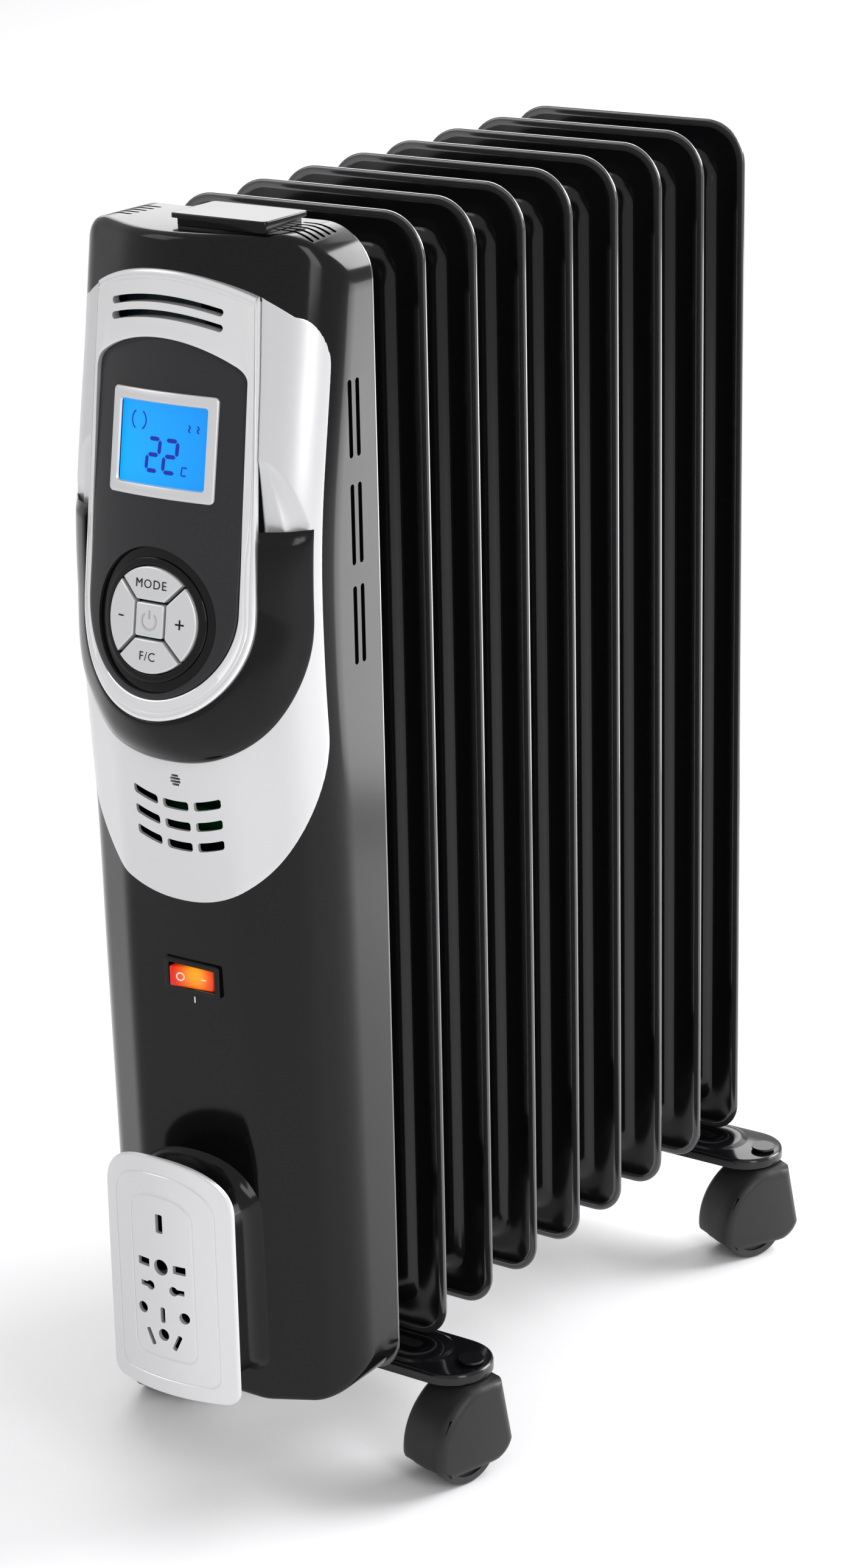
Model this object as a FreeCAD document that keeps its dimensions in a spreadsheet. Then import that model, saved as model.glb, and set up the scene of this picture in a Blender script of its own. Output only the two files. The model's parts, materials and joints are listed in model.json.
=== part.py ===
"""Oil filled radiator heater: nine steel fins on castors with a control housing in front.

Millimetres, +Z up, floor at z = 0, +Y towards the rear fin, origin under the middle of the heater.
Depths of the front housing are counted forwards (towards -Y) from the plane of the first fin.
"""
import FreeCAD, Part
import math
import os
import Sketcher

V = FreeCAD.Vector
X_AXIS = V(1, 0, 0)
Y_AXIS = V(0, 1, 0)
Z_AXIS = V(0, 0, 1)
NO_TURN = FreeCAD.Rotation()

doc = FreeCAD.newDocument("oil_radiator")

# ---------------------------------------------------------------- driving dimensions
DIMENSIONS = [
    ("fin_count", 9, "fins, the first one closes the back of the housing"),
    ("fin_pitch", 43, "distance between two fins"),
    ("first_fin_y", -129.75, "mid plane of the first fin"),
    ("fin_width", 145, ""),
    ("fin_height", 580, ""),
    ("fin_foot_z", 60, "lower edge of the fins above the floor"),
    ("fin_sheet", 1.6, "two welded sheets together"),
    ("fin_top_radius", 22.8, ""),
    ("fin_bottom_radius", 17, ""),
    ("chamber_margin", 17, "flat flange round the oil chamber"),
    ("chamber_depth", 11, "thickness over the oil chamber"),
    ("chamber_radius", 25, ""),
    ("chamber_wall", 0.8, ""),
    ("hub_inset", 42, "oil collector axis from the fin's top and bottom edges"),
    ("hub_radius", 18, ""),
    ("hub_bore", 14.5, ""),
    ("shell_half_width", 73, "front housing"),
    ("shell_bottom_z", 62, ""),
    ("shell_top_z", 642, ""),
    ("shell_wall", 2.6, ""),
    ("shell_top_radius", 25, ""),
    ("shell_bottom_radius", 19, ""),
    ("shell_rim_gap", 1.2, "back rim of the housing in front of the first fin's mid plane"),
    ("corner_radius", 34, "upright front corners, seen from above"),
    ("facet_angle", 28, "slope of the side facets of the front, degrees"),
    ("centre_half_width", 34, "middle part of the front"),
    ("bezel_thickness", 1.75, ""),
    ("bezel_half_width", 71, ""),
    ("bezel_arch_radius", 100, ""),
    ("bezel_arch_z", 625.5, "top of the silver bezel"),
    ("bezel_waist_z", 412, "where the bezel starts to narrow"),
    ("bezel_tip_z", 322.5, "lowest point of the bezel"),
    ("surround_top_half", 45, "raised frame round the control panel"),
    ("surround_half_width", 49.6, ""),
    ("surround_round_z", 468, "centre of the frame's round lower end"),
    ("surround_depth", 68.3, "at tilt_z"),
    ("surround_tilt", 7.4, "degrees, lower end forwards"),
    ("surround_curve", 95, "radius seen from above"),
    ("panel_half_width", 43, ""),
    ("panel_arch_radius", 72, ""),
    ("panel_arch_z", 594.5, ""),
    ("panel_round_z", 472, ""),
    ("panel_depth", 64, "at tilt_z"),
    ("panel_tilt", 9.1, "degrees, lower end forwards"),
    ("panel_curve", 110, "radius seen from above"),
    ("panel_thickness", 2.4, ""),
    ("tilt_z", 581, "height at which the panel depths are given"),
    ("display_z", 545.8, "centre of the display"),
    ("display_width", 60, ""),
    ("display_height", 49, ""),
    ("window_width", 49.6, ""),
    ("window_height", 37.5, ""),
    ("keys_z", 465.5, "centre of the round key cluster"),
    ("keys_radius", 25, ""),
    ("keys_gap", 1.3, "half of the gap between two keys, along the key"),
    ("key_square", 15.8, "power key"),
    ("key_height", 5, ""),
    ("key_travel", 0.8, ""),
    ("ring_radius", 34, "stepped ring round the keys"),
    ("grip_half_width", 69, "dark grip round the panel"),
    ("grip_round_z", 470, ""),
    ("grip_drop", 75, ""),
    ("grip_top_z", 509.5, ""),
    ("grip_power", 2.35, "shape exponent of the grip's outer edge"),
    ("rocker_x", 4.5, ""),
    ("rocker_z", 284, ""),
    ("rocker_width", 33, ""),
    ("rocker_height", 16.5, ""),
    ("plate_half_width", 38.4, "plug parking plate"),
    ("plate_bottom_z", 72, ""),
    ("plate_top_z", 199, ""),
    ("plate_curve", 92, ""),
    ("plate_depth", 97, "its front"),
    ("plate_thickness", 2.2, ""),
    ("hub_half_width", 33, "pedestal that the cord is wound on"),
    ("cap_x", 19, "flat cap on top"),
    ("cap_width", 54, ""),
    ("cap_length", 34, ""),
    ("cap_top_z", 648, ""),
    ("bracket_front_y", -97.75, "foot brackets"),
    ("bracket_rear_y", 205.25, ""),
    ("bracket_half_length", 104, ""),
    ("bracket_width", 43, ""),
    ("bracket_height", 7, ""),
    ("bracket_sheet", 1.8, ""),
    ("bracket_gap", 0.3, "under the fins"),
    ("stem_x", 94.5, "swivel axes of the castors"),
    ("stem_radius", 4, ""),
    ("castor_trail", 14, ""),
    ("front_castor_turn", 16, "degrees, how far the front castors are turned at rest"),
    ("rear_castor_turn", 27, ""),
    ("wheel_radius", 19, ""),
    ("wheel_width", 9.6, ""),
    ("wheel_centre", 9.3, "wheel middle from the castor's own middle"),
    ("axle_radius", 2.5, ""),
    ("hood_width", 32, ""),
    ("hood_top_z", 51.5, ""),
    ("hood_bottom_z", 5.5, ""),
    ("hood_wall", 1.6, ""),
]

# height, depth of the corner arc's centre, and how far the middle bulges
FRONT_STATIONS = [
    (45, 20.0, 0.2), (62, 20.7, 0.2), (120, 22.0, 0.2), (230, 24.4, 0.3), (285, 25.4, 0.5),
    (331, 26.0, 1.5), (360, 26.8, 3.0), (400, 29.3, 5.0), (440, 31.5, 6.0), (490, 31.5, 6.0),
    (520, 28.8, 6.0), (550, 24.0, 6.0), (581, 18.6, 6.5), (615, 13.6, 7.5), (643, 9.4, 9.0),
    (660, 7.0, 10.0),
]

sheet = doc.addObject("Spreadsheet::Sheet", "Dims")
rows = list(DIMENSIONS)
for number, (height, arc_depth, bulge) in enumerate(FRONT_STATIONS, start=1):
    rows.append((f"station_height_{number}", height, "front housing section"))
    rows.append((f"station_arc_{number}", arc_depth, ""))
    rows.append((f"station_bulge_{number}", bulge, ""))
for row, (alias, value, note) in enumerate(rows, start=1):
    sheet.set(f"A{row}", alias)
    sheet.set(f"B{row}", str(value))
    sheet.set(f"C{row}", note)
    sheet.setAlias(f"B{row}", alias)
doc.recompute()


def dim(alias):
    """A driving dimension's value."""
    return float(getattr(sheet, alias))


SUB_PARTS = []


def keep(piece, label):
    """Give a finished sub-part its label and list it for export."""
    piece.Label = label
    SUB_PARTS.append(piece)
    return piece


def bind(piece, **formulas):
    """Bind properties to the sheet; D. stands for the sheet and __ for a dot in the property's name."""
    for name, formula in formulas.items():
        piece.setExpression(name.replace("__", "."), formula.replace("D.", "Dims."))
    return piece


# ---------------------------------------------------------------- primitives bound to the sheet
def centred_box(name, size, middle):
    """A box from its three lengths and its middle point, all given as formulas."""
    piece = doc.addObject("Part::Box", name)
    bind(piece, Length=size[0], Width=size[1], Height=size[2])
    for axis, length, place in zip("xyz", size, middle):
        bind(piece, **{f"Placement__Base__{axis}": f"({place}) - ({length}) / 2"})
    return piece


def cylinder(name, radius, height, base, direction=Z_AXIS):
    """A cylinder that starts at base and runs along direction."""
    piece = doc.addObject("Part::Cylinder", name)
    piece.Placement = FreeCAD.Placement(V(), FreeCAD.Rotation(Z_AXIS, direction))
    bind(piece, Radius=radius, Height=height)
    for axis, place in zip("xyz", base):
        bind(piece, **{f"Placement__Base__{axis}": place})
    return piece


def cut(name, base, *tools):
    """Base minus the tools."""
    tool = tools[0] if len(tools) == 1 else fuse(name + "_tools", *tools)
    piece = doc.addObject("Part::Cut", name)
    piece.Base = base
    piece.Tool = tool
    return piece


def fuse(name, *pieces):
    """One solid made of several that touch."""
    piece = doc.addObject("Part::MultiFuse", name)
    piece.Shapes = list(pieces)
    return piece


def common(name, *pieces):
    """What the pieces share."""
    piece = doc.addObject("Part::MultiCommon", name)
    piece.Shapes = list(pieces)
    return piece


def group(name, pieces):
    """Identical solids that share one node."""
    piece = doc.addObject("Part::Compound", name)
    piece.Links = list(pieces)
    return piece


def shaped(name, shape):
    """A sub-part or tool whose freeform shape comes from Part's own functions."""
    piece = doc.addObject("Part::Feature", name)
    piece.Shape = shape
    return piece


# ---------------------------------------------------------------- sketches
def new_body(name):
    return doc.addObject("PartDesign::Body", name)


def new_sketch(body, name, role, offset="0"):
    """A sketch on one of the body's own origin planes, moved along its normal."""
    sketch = body.newObject("Sketcher::SketchObject", name)
    plane = next(part for part in body.Origin.OriginFeatures if part.Role == role)
    sketch.AttachmentSupport = [(plane, "")]
    sketch.MapMode = "FlatFace"
    bind(sketch, AttachmentOffset__Base__z=offset)
    return sketch


def evaluated(sketch, formula):
    """A formula's present value."""
    value = sketch.evalExpression(formula.replace("D.", "Dims."))
    return float(getattr(value, "Value", value))


def bound(sketch, name, formula, kind, *where):
    """A named sketch dimension that follows the sheet."""
    number = sketch.addConstraint(Sketcher.Constraint(kind, *where))
    sketch.renameConstraint(number, name)
    bind(sketch, **{f"Constraints__{name}": formula})


def rounded_outline(sketch, half_width, low, high, low_radius, high_radius):
    """An upright rectangle about the sketch's vertical axis with a radius above and one below."""
    w, b, t, lr, hr = [evaluated(sketch, size)
                       for size in (half_width, low, high, low_radius, high_radius)]
    corners = [(w - lr, b + lr, lr, 270), (w - hr, t - hr, hr, 0),
               (-w + hr, t - hr, hr, 90), (-w + lr, b + lr, lr, 180)]
    lines = [((-w + lr, b), (w - lr, b)), ((w, b + lr), (w, t - hr)),
             ((w - hr, t), (-w + hr, t)), ((-w, t - hr), (-w, b + lr))]
    for start, end in lines:
        sketch.addGeometry(Part.LineSegment(V(*start, 0), V(*end, 0)))
    for x, y, radius, start in corners:
        circle = Part.Circle(V(x, y, 0), Z_AXIS, radius)
        sketch.addGeometry(Part.ArcOfCircle(circle, math.radians(start), math.radians(start + 90)))
    for line in range(4):
        arc = 4 + line
        sketch.addConstraint(Sketcher.Constraint("Tangent", line, 2, arc, 1))
        sketch.addConstraint(Sketcher.Constraint("Tangent", arc, 2, (line + 1) % 4, 1))
    sketch.addConstraint(Sketcher.Constraint("Horizontal", 0))
    sketch.addConstraint(Sketcher.Constraint("Vertical", 1))
    sketch.addConstraint(Sketcher.Constraint("Equal", 4, 7))
    sketch.addConstraint(Sketcher.Constraint("Equal", 5, 6))
    bound(sketch, "right", half_width, "DistanceX", -1, 1, 1, 1, w)
    bound(sketch, "left", half_width, "DistanceX", 3, 1, -1, 1, w)
    bound(sketch, "low", low, "DistanceY", -1, 1, 0, 1, b)
    bound(sketch, "high", high, "DistanceY", -1, 1, 2, 1, t)
    bound(sketch, "low_radius", low_radius, "Radius", 4, lr)
    bound(sketch, "high_radius", high_radius, "Radius", 5, hr)


def add_circle(sketch, name, x, y, radius):
    """A circle placed by formulas; its start values only fix which side of the axes it lies on."""
    number = sketch.addGeometry(Part.Circle(V(10, 10, 0), Z_AXIS, 5))
    if x == "0":
        sketch.addConstraint(Sketcher.Constraint("PointOnObject", number, 3, -2))
    else:
        bound(sketch, name + "_x", x, "DistanceX", -1, 1, number, 3, 10)
    bound(sketch, name + "_y", y, "DistanceY", -1, 1, number, 3, 10)
    bound(sketch, name + "_radius", radius, "Radius", number, 5)


def pad(body, sketch, name, length, symmetric=False, backwards=False):
    feature = body.newObject("PartDesign::Pad", name)
    feature.Profile = sketch
    feature.SideType = "Symmetric" if symmetric else "One side"
    feature.Reversed = backwards
    bind(feature, Length=length)
    return feature


def pocket(body, sketch, name, length, symmetric=False, backwards=False):
    feature = body.newObject("PartDesign::Pocket", name)
    feature.Profile = sketch
    feature.SideType = "Symmetric" if symmetric else "One side"
    feature.Reversed = backwards
    bind(feature, Length=length)
    return feature


# ---------------------------------------------------------------- fins and oil collectors
UPPER_HUB_Z = "D.fin_foot_z + D.fin_height - D.hub_inset"
LOWER_HUB_Z = "D.fin_foot_z + D.hub_inset"


def make_fin(number):
    """A flat flange with the pressed oil chamber in it, hollow and open at both collectors."""
    fin = new_body(f"fin_{number}")
    low = "D.fin_foot_z"
    high = "D.fin_foot_z + D.fin_height"

    flange = new_sketch(fin, f"flange_outline_{number}", "XZ_Plane")
    rounded_outline(flange, "D.fin_width / 2", low, high, "D.fin_bottom_radius", "D.fin_top_radius")
    pad(fin, flange, f"flange_{number}", "D.fin_sheet", symmetric=True)

    chamber = new_sketch(fin, f"chamber_outline_{number}", "XZ_Plane")
    rounded_outline(chamber, "D.fin_width / 2 - D.chamber_margin", low + " + D.chamber_margin",
                    high + " - D.chamber_margin", "D.chamber_radius", "D.chamber_radius")
    pad(fin, chamber, f"chamber_{number}", "D.chamber_depth", symmetric=True)

    hollow = new_sketch(fin, f"hollow_outline_{number}", "XZ_Plane")
    inset = " + D.chamber_margin + D.chamber_wall"
    rounded_outline(hollow, "D.fin_width / 2 - D.chamber_margin - D.chamber_wall", low + inset,
                    high + inset.replace("+", "-"), "D.chamber_radius - D.chamber_wall",
                    "D.chamber_radius - D.chamber_wall")
    pocket(fin, hollow, f"hollow_{number}", "D.chamber_depth - 2 * D.chamber_wall", symmetric=True)

    bores = new_sketch(fin, f"bore_outline_{number}", "XZ_Plane")
    add_circle(bores, "upper", "0", UPPER_HUB_Z, "D.hub_bore")
    add_circle(bores, "lower", "0", LOWER_HUB_Z, "D.hub_bore")
    pocket(fin, bores, f"bores_{number}", "D.chamber_depth + 2", symmetric=True)

    bind(fin, Placement__Base__y=f"D.first_fin_y + {number - 1} * D.fin_pitch")
    return keep(fin, f"fin_{number}")


def make_collector(label, hub_z, front_plug):
    """The weld collars that join the fins, and the discs that close the ends."""
    solids = []
    face = "D.chamber_depth / 2"
    for gap in range(int(dim("fin_count")) - 1):
        start = f"D.first_fin_y + {gap} * D.fin_pitch + {face}"
        length = "D.fin_pitch - D.chamber_depth"
        outer = cylinder(f"{label}_outer_{gap}", "D.hub_radius", length, ("0", start, hub_z), Y_AXIS)
        inner = cylinder(f"{label}_inner_{gap}", "D.hub_bore", length, ("0", start, hub_z), Y_AXIS)
        solids.append(cut(f"{label}_collar_{gap}", outer, inner))
    last = f"D.first_fin_y + (D.fin_count - 1) * D.fin_pitch + {face}"
    solids.append(cylinder(f"{label}_rear_plug", "D.hub_radius", "D.fin_sheet", ("0", last, hub_z), Y_AXIS))
    if front_plug:
        first = f"D.first_fin_y - {face} - D.fin_sheet"
        plug = cylinder(f"{label}_front_plug", "D.hub_radius", "D.fin_sheet", ("0", first, hub_z), Y_AXIS)
        solids.append(plug)
    return keep(group(label, solids), label)


for fin_number in range(1, int(dim("fin_count")) + 1):
    make_fin(fin_number)
make_collector("collector_upper", UPPER_HUB_Z, front_plug=True)
make_collector("collector_lower", LOWER_HUB_Z, front_plug=False)


# ---------------------------------------------------------------- freeform surfaces of the housing
FIRST_FIN = dim("first_fin_y")
HALF = dim("shell_half_width")
CORNER = dim("corner_radius")
FACET = math.radians(dim("facet_angle"))
MIDDLE = dim("centre_half_width")
STATIONS = [tuple(dim(f"station_{kind}_{number}") for kind in ("height", "arc", "bulge"))
            for number in range(1, len(FRONT_STATIONS) + 1)]


def forward(depth):
    """The y of a point that lies depth in front of the first fin."""
    return FIRST_FIN - depth


def front_section(height, arc_depth, bulge, grow, back_depth):
    """The housing's outline seen from above at one height, grown outwards by grow."""
    radius = CORNER + grow
    side = HALF + grow
    arc_x = HALF - CORNER

    def point(x, depth):
        return V(x, forward(depth), height)

    facet_x = arc_x + radius * math.sin(FACET)
    facet_depth = arc_depth + radius * math.cos(FACET)
    middle_depth = facet_depth + (facet_x - MIDDLE) * math.tan(FACET)
    half_turn = math.radians(90) - (math.radians(90) - FACET) / 2
    turn = V(arc_x + radius * math.sin(half_turn), arc_depth + radius * math.cos(half_turn), 0)
    right = [point(side, back_depth), point(side, arc_depth), point(facet_x, facet_depth),
             point(MIDDLE, middle_depth)]
    left = [V(-p.x, p.y, p.z) for p in right]
    edges = [
        Part.LineSegment(right[0], right[1]),
        Part.Arc(right[1], point(turn.x, turn.y), right[2]),
        Part.LineSegment(right[2], right[3]),
        Part.Arc(right[3], point(0, middle_depth + bulge), left[3]),
        Part.LineSegment(left[3], left[2]),
        Part.Arc(left[2], point(-turn.x, turn.y), left[1]),
        Part.LineSegment(left[1], left[0]),
        Part.LineSegment(left[0], right[0]),
    ]
    return Part.Wire([edge.toShape() for edge in edges])


def front_block(grow, back_depth):
    """Everything behind the front's surface moved outwards by grow."""
    wires = [front_section(*station, grow, back_depth) for station in STATIONS]
    return Part.makeLoft(wires, True, False)


def front_depth(x, z):
    """Depth of the housing's front at one point, between the two nearest sections."""
    above = next(number for number, station in enumerate(STATIONS) if station[0] >= z)
    low, high = STATIONS[above - 1], STATIONS[above]
    share = (z - low[0]) / (high[0] - low[0])
    arc_depth = low[1] + (high[1] - low[1]) * share
    bulge = low[2] + (high[2] - low[2]) * share
    x = abs(x)
    arc_x = HALF - CORNER
    facet_x = arc_x + CORNER * math.sin(FACET)
    if x >= facet_x:
        return arc_depth + math.sqrt(CORNER ** 2 - (x - arc_x) ** 2)
    facet_depth = arc_depth + CORNER * math.cos(FACET)
    if x >= MIDDLE:
        return facet_depth + (facet_x - x) * math.tan(FACET)
    return facet_depth + (facet_x - MIDDLE) * math.tan(FACET) + bulge * (1 - (x / MIDDLE) ** 2)


def prism(outline, near_depth, far_depth):
    """An outline in the XZ plane pulled along Y between two depths."""
    wire = Part.Wire([edge.toShape() for edge in outline])
    face = Part.Face(wire)
    face.translate(V(0, forward(near_depth), 0))
    return face.extrude(V(0, near_depth - far_depth, 0))


def p(x, z):
    return V(x, 0, z)


def rounded_block_outline(half, low, high, low_radius, high_radius):
    """An upright rectangle with round corners, as a list of edges."""
    lr = low_radius * (1 - math.sqrt(0.5))
    hr = high_radius * (1 - math.sqrt(0.5))
    return [
        Part.LineSegment(p(-half + low_radius, low), p(half - low_radius, low)),
        Part.Arc(p(half - low_radius, low), p(half - lr, low + lr), p(half, low + low_radius)),
        Part.LineSegment(p(half, low + low_radius), p(half, high - high_radius)),
        Part.Arc(p(half, high - high_radius), p(half - hr, high - hr), p(half - high_radius, high)),
        Part.LineSegment(p(half - high_radius, high), p(-half + high_radius, high)),
        Part.Arc(p(-half + high_radius, high), p(-half + hr, high - hr), p(-half, high - high_radius)),
        Part.LineSegment(p(-half, high - high_radius), p(-half, low + low_radius)),
        Part.Arc(p(-half, low + low_radius), p(-half + lr, low + lr), p(-half + low_radius, low)),
    ]


def round_end_points(half, waist_z, drop, power, count=16):
    """Points down one side of a superellipse, round its lowest point and up the other side."""
    points = []
    for step in range(count + 1):
        angle = math.pi * step / count
        c, s = math.cos(angle), math.sin(angle)
        x = math.copysign(half * abs(c) ** (2 / power), c)
        points.append((x, waist_z - drop * abs(s) ** (2 / power)))
    return points


def spline(points):
    curve = Part.BSplineCurve()
    curve.interpolate([p(x, z) for x, z in points])
    return curve


def arch_height(half, radius, top):
    """Height of an arch's foot, half beside its middle."""
    return top - radius + math.sqrt(radius ** 2 - half ** 2)


def bezel_outline(grow=0.0):
    """Arched top with rounded shoulders, straight sides and a round lower end."""
    half = dim("bezel_half_width") + grow
    top = dim("bezel_arch_z") + grow
    radius = dim("bezel_arch_radius") + grow
    waist = dim("bezel_waist_z")
    shoulder_x = half - 11
    shoulder_z = arch_height(shoulder_x, radius, top)
    side_z = shoulder_z - 25.5
    bow_x, bow_z = half - 2.8, side_z + 16.5
    drop = waist - dim("bezel_tip_z") + grow
    return [
        Part.LineSegment(p(-half, waist), p(-half, side_z)),
        Part.Arc(p(-half, side_z), p(-bow_x, bow_z), p(-shoulder_x, shoulder_z)),
        Part.Arc(p(-shoulder_x, shoulder_z), p(0, top), p(shoulder_x, shoulder_z)),
        Part.Arc(p(shoulder_x, shoulder_z), p(bow_x, bow_z), p(half, side_z)),
        Part.LineSegment(p(half, side_z), p(half, waist)),
        spline(round_end_points(half, waist, drop, 2.2)),
    ]


def surround_outline(grow=0.0):
    """The raised frame: as high as the bezel, a little wider below, with a half round end."""
    top_half = dim("surround_top_half") + grow
    half = dim("surround_half_width") + grow
    round_z = dim("surround_round_z")
    top = dim("bezel_arch_z") + grow
    foot = arch_height(top_half, dim("bezel_arch_radius"), top)
    widest_z = round_z + 22
    return [
        Part.Arc(p(-top_half, foot), p(0, top), p(top_half, foot)),
        Part.LineSegment(p(top_half, foot), p(half, widest_z)),
        Part.LineSegment(p(half, widest_z), p(half, round_z)),
        Part.Arc(p(half, round_z), p(0, round_z - half), p(-half, round_z)),
        Part.LineSegment(p(-half, round_z), p(-half, widest_z)),
        Part.LineSegment(p(-half, widest_z), p(-top_half, foot)),
    ]


def panel_outline(grow=0.0):
    half = dim("panel_half_width") + grow
    top = dim("panel_arch_z") + grow
    foot = arch_height(half, dim("panel_arch_radius"), top)
    round_z = dim("panel_round_z")
    return [
        Part.Arc(p(-half, foot), p(0, top), p(half, foot)),
        Part.LineSegment(p(half, foot), p(half, round_z)),
        Part.Arc(p(half, round_z), p(0, round_z - half), p(-half, round_z)),
        Part.LineSegment(p(-half, round_z), p(-half, foot)),
    ]


def leaning_cylinder(radius, depth, tilt):
    """A tall cylinder whose front line lies at depth at the reference height and leans by tilt."""
    axis = V(0, math.sin(math.radians(tilt)), math.cos(math.radians(tilt)))
    reach = 400
    start = V(0, forward(depth) + radius, dim("tilt_z")) - axis * reach
    return Part.makeCylinder(radius, 2 * reach, start, axis)


def panel_body(grow):
    return leaning_cylinder(dim("panel_curve") + grow, dim("panel_depth") + grow, dim("panel_tilt"))


def block(half_x, half_z, x, z, near_depth, far_depth, tilt=0.0):
    """A straight-sided window for cutting, centred at x, z, turned by tilt about the Y axis."""
    solid = Part.makeBox(2 * half_x, far_depth - near_depth, 2 * half_z,
                         V(x - half_x, forward(far_depth), z - half_z))
    solid.rotate(V(x, 0, z), Y_AXIS, tilt)
    return solid


def bowed_slot(half, z, sag, width, near_depth, far_depth, x=0.0):
    """A slot along a flat arc; a positive sag lifts its middle."""
    def edge(lift, direction):
        ends = [p(x - half, z + lift), p(x, z + sag + lift), p(x + half, z + lift)]
        if direction < 0:
            ends.reverse()
        return Part.Arc(*ends)
    w = width / 2
    outline = [
        edge(w, 1),
        Part.Arc(p(x + half, z + w), p(x + half + w, z), p(x + half, z - w)),
        edge(-w, -1),
        Part.Arc(p(x - half, z - w), p(x - half - w, z), p(x - half, z + w)),
    ]
    return prism(outline, near_depth, far_depth)


SHELL_RIM = dim("shell_rim_gap")
WALL = dim("shell_wall")
FAR = 130.0


# ---------------------------------------------------------------- housing
def side_vents():
    """Three pairs of upright slots in each side."""
    slots = []
    for low, high in ((537.7, 574.4), (487, 525.5), (439, 477)):
        for depth in (15.0, 21.0):
            slot = Part.makeBox(2 * HALF + 20, 3.0, high - low, V(-HALF - 10, forward(depth) - 1.5, low))
            slots.append(slot)
    return slots


def top_vents():
    """Short slots across the top, beside the cap."""
    slots = []
    for number in range(5):
        depth = 9.0 + 5.0 * number
        for side in (-1, 1):
            x = -49.0 if side < 0 else 51.0
            slots.append(Part.makeBox(18, 2.2, 20, V(x - 9 + side * 1.0 * number * 0.4, forward(depth),
                                                     dim("shell_top_z") - 10)))
    return slots


def make_shell():
    """A thin moulded cover, open at the back, with a step for the bezel and a window behind it."""
    low, high = dim("shell_bottom_z"), dim("shell_top_z")
    low_r, high_r = dim("shell_bottom_radius"), dim("shell_top_radius")
    outer = front_block(0, SHELL_RIM).common(
        prism(rounded_block_outline(HALF, low, high, low_r, high_r), SHELL_RIM, FAR))
    inner = front_block(-WALL, -5).common(
        prism(rounded_block_outline(HALF - WALL, low + WALL, high - WALL, low_r - WALL, high_r - WALL),
              -5, FAR))
    shell = outer.cut(inner)
    seat = prism(bezel_outline(0.2), 0, FAR).cut(front_block(-dim("bezel_thickness") - 0.05, -5))
    window = prism(bezel_outline(-9), 20, FAR)
    shell = shell.cut(seat).cut(window)
    rocker_hole = block(15.4, 7.0, dim("rocker_x"), dim("rocker_z"), 30, FAR)
    gland_hole = Part.makeCylinder(6.1, 30, V(0, forward(25), low - 15), Z_AXIS)
    return shell.cut([rocker_hole, gland_hole] + side_vents() + top_vents())


def lower_grille():
    """Nine bowed slots in three rows and three columns under the panel."""
    slots = []
    for row in range(3):
        z = 377.5 - 10.4 * row
        for column, lift in ((-1, 1.8), (0, 0.0), (1, 1.8)):
            slot = bowed_slot(6.2, z - 2.5, -0.5, 4.2, 20, FAR, x=2 + 18 * column)
            slot.translate(V(0, 0, lift))
            slots.append(slot)
    return slots


def make_bezel():
    """Two silver wings joined under the panel, let into the cover's face."""
    skin = front_block(0.12, -5).cut(front_block(-dim("bezel_thickness"), -6))
    bezel = prism(bezel_outline(), 8, FAR).common(skin)
    bezel = bezel.cut(prism(surround_outline(0.15), 0, FAR))
    bezel = bezel.cut(prism(surround_outline(0.15), 0, FAR).translated(V(0, 0, 4)))
    speaker = [block(2.9 - abs(offset) * 0.35, 0.7, 4, 385.7 + offset, 20, FAR) for offset in (-2.2, 0, 2.2)]
    return bezel.cut(lower_grille() + speaker)


def make_surround():
    """The raised silver frame with two bowed slots at its top."""
    front = leaning_cylinder(dim("surround_curve"), dim("surround_depth"), dim("surround_tilt"))
    frame = prism(surround_outline(), 0, FAR).common(front).cut(front_block(-dim("bezel_thickness"), -6))
    frame = frame.cut(prism(panel_outline(0.15), 0, FAR))
    slots = [bowed_slot(30, z, 4.2, 3.5, 20, FAR) for z in (608.2, 601.2)]
    return frame.cut(slots)


def make_control_panel():
    """The dark curved panel, with openings for the display and the keys."""
    panel = prism(panel_outline(), 0, FAR).common(panel_body(0)).cut(panel_body(-dim("panel_thickness")))
    opening = block(dim("display_width") / 2 - 1.5, dim("display_height") / 2 - 1.5, 0, dim("display_z"), 0, FAR)
    keys = Part.makeCylinder(dim("ring_radius") + 0.1, 60)
    keys.Placement = panel_placement(dim("keys_z"), -30)
    return panel.cut([opening, keys])


def panel_placement(height, lift=0.0):
    """Local x across the panel, local y up along it, local z out of it."""
    angle = dim("panel_tilt")
    depth = dim("panel_depth") + (dim("tilt_z") - height) * math.tan(math.radians(angle))
    turn = FreeCAD.Rotation(X_AXIS, 90 - angle)
    return FreeCAD.Placement(V(0, forward(depth), height) + turn.multVec(V(0, 0, lift)), turn)


def make_display_frame():
    """The silver frame round the display, curved like the panel and standing on it."""
    ring = block(dim("display_width") / 2, dim("display_height") / 2, 0, dim("display_z"), 0, FAR)
    ring = ring.cut(block(dim("window_width") / 2, dim("window_height") / 2, 0, dim("display_z"), 0, FAR))
    face = ring.common(panel_body(1.3)).cut(panel_body(0.05))
    return face


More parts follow.
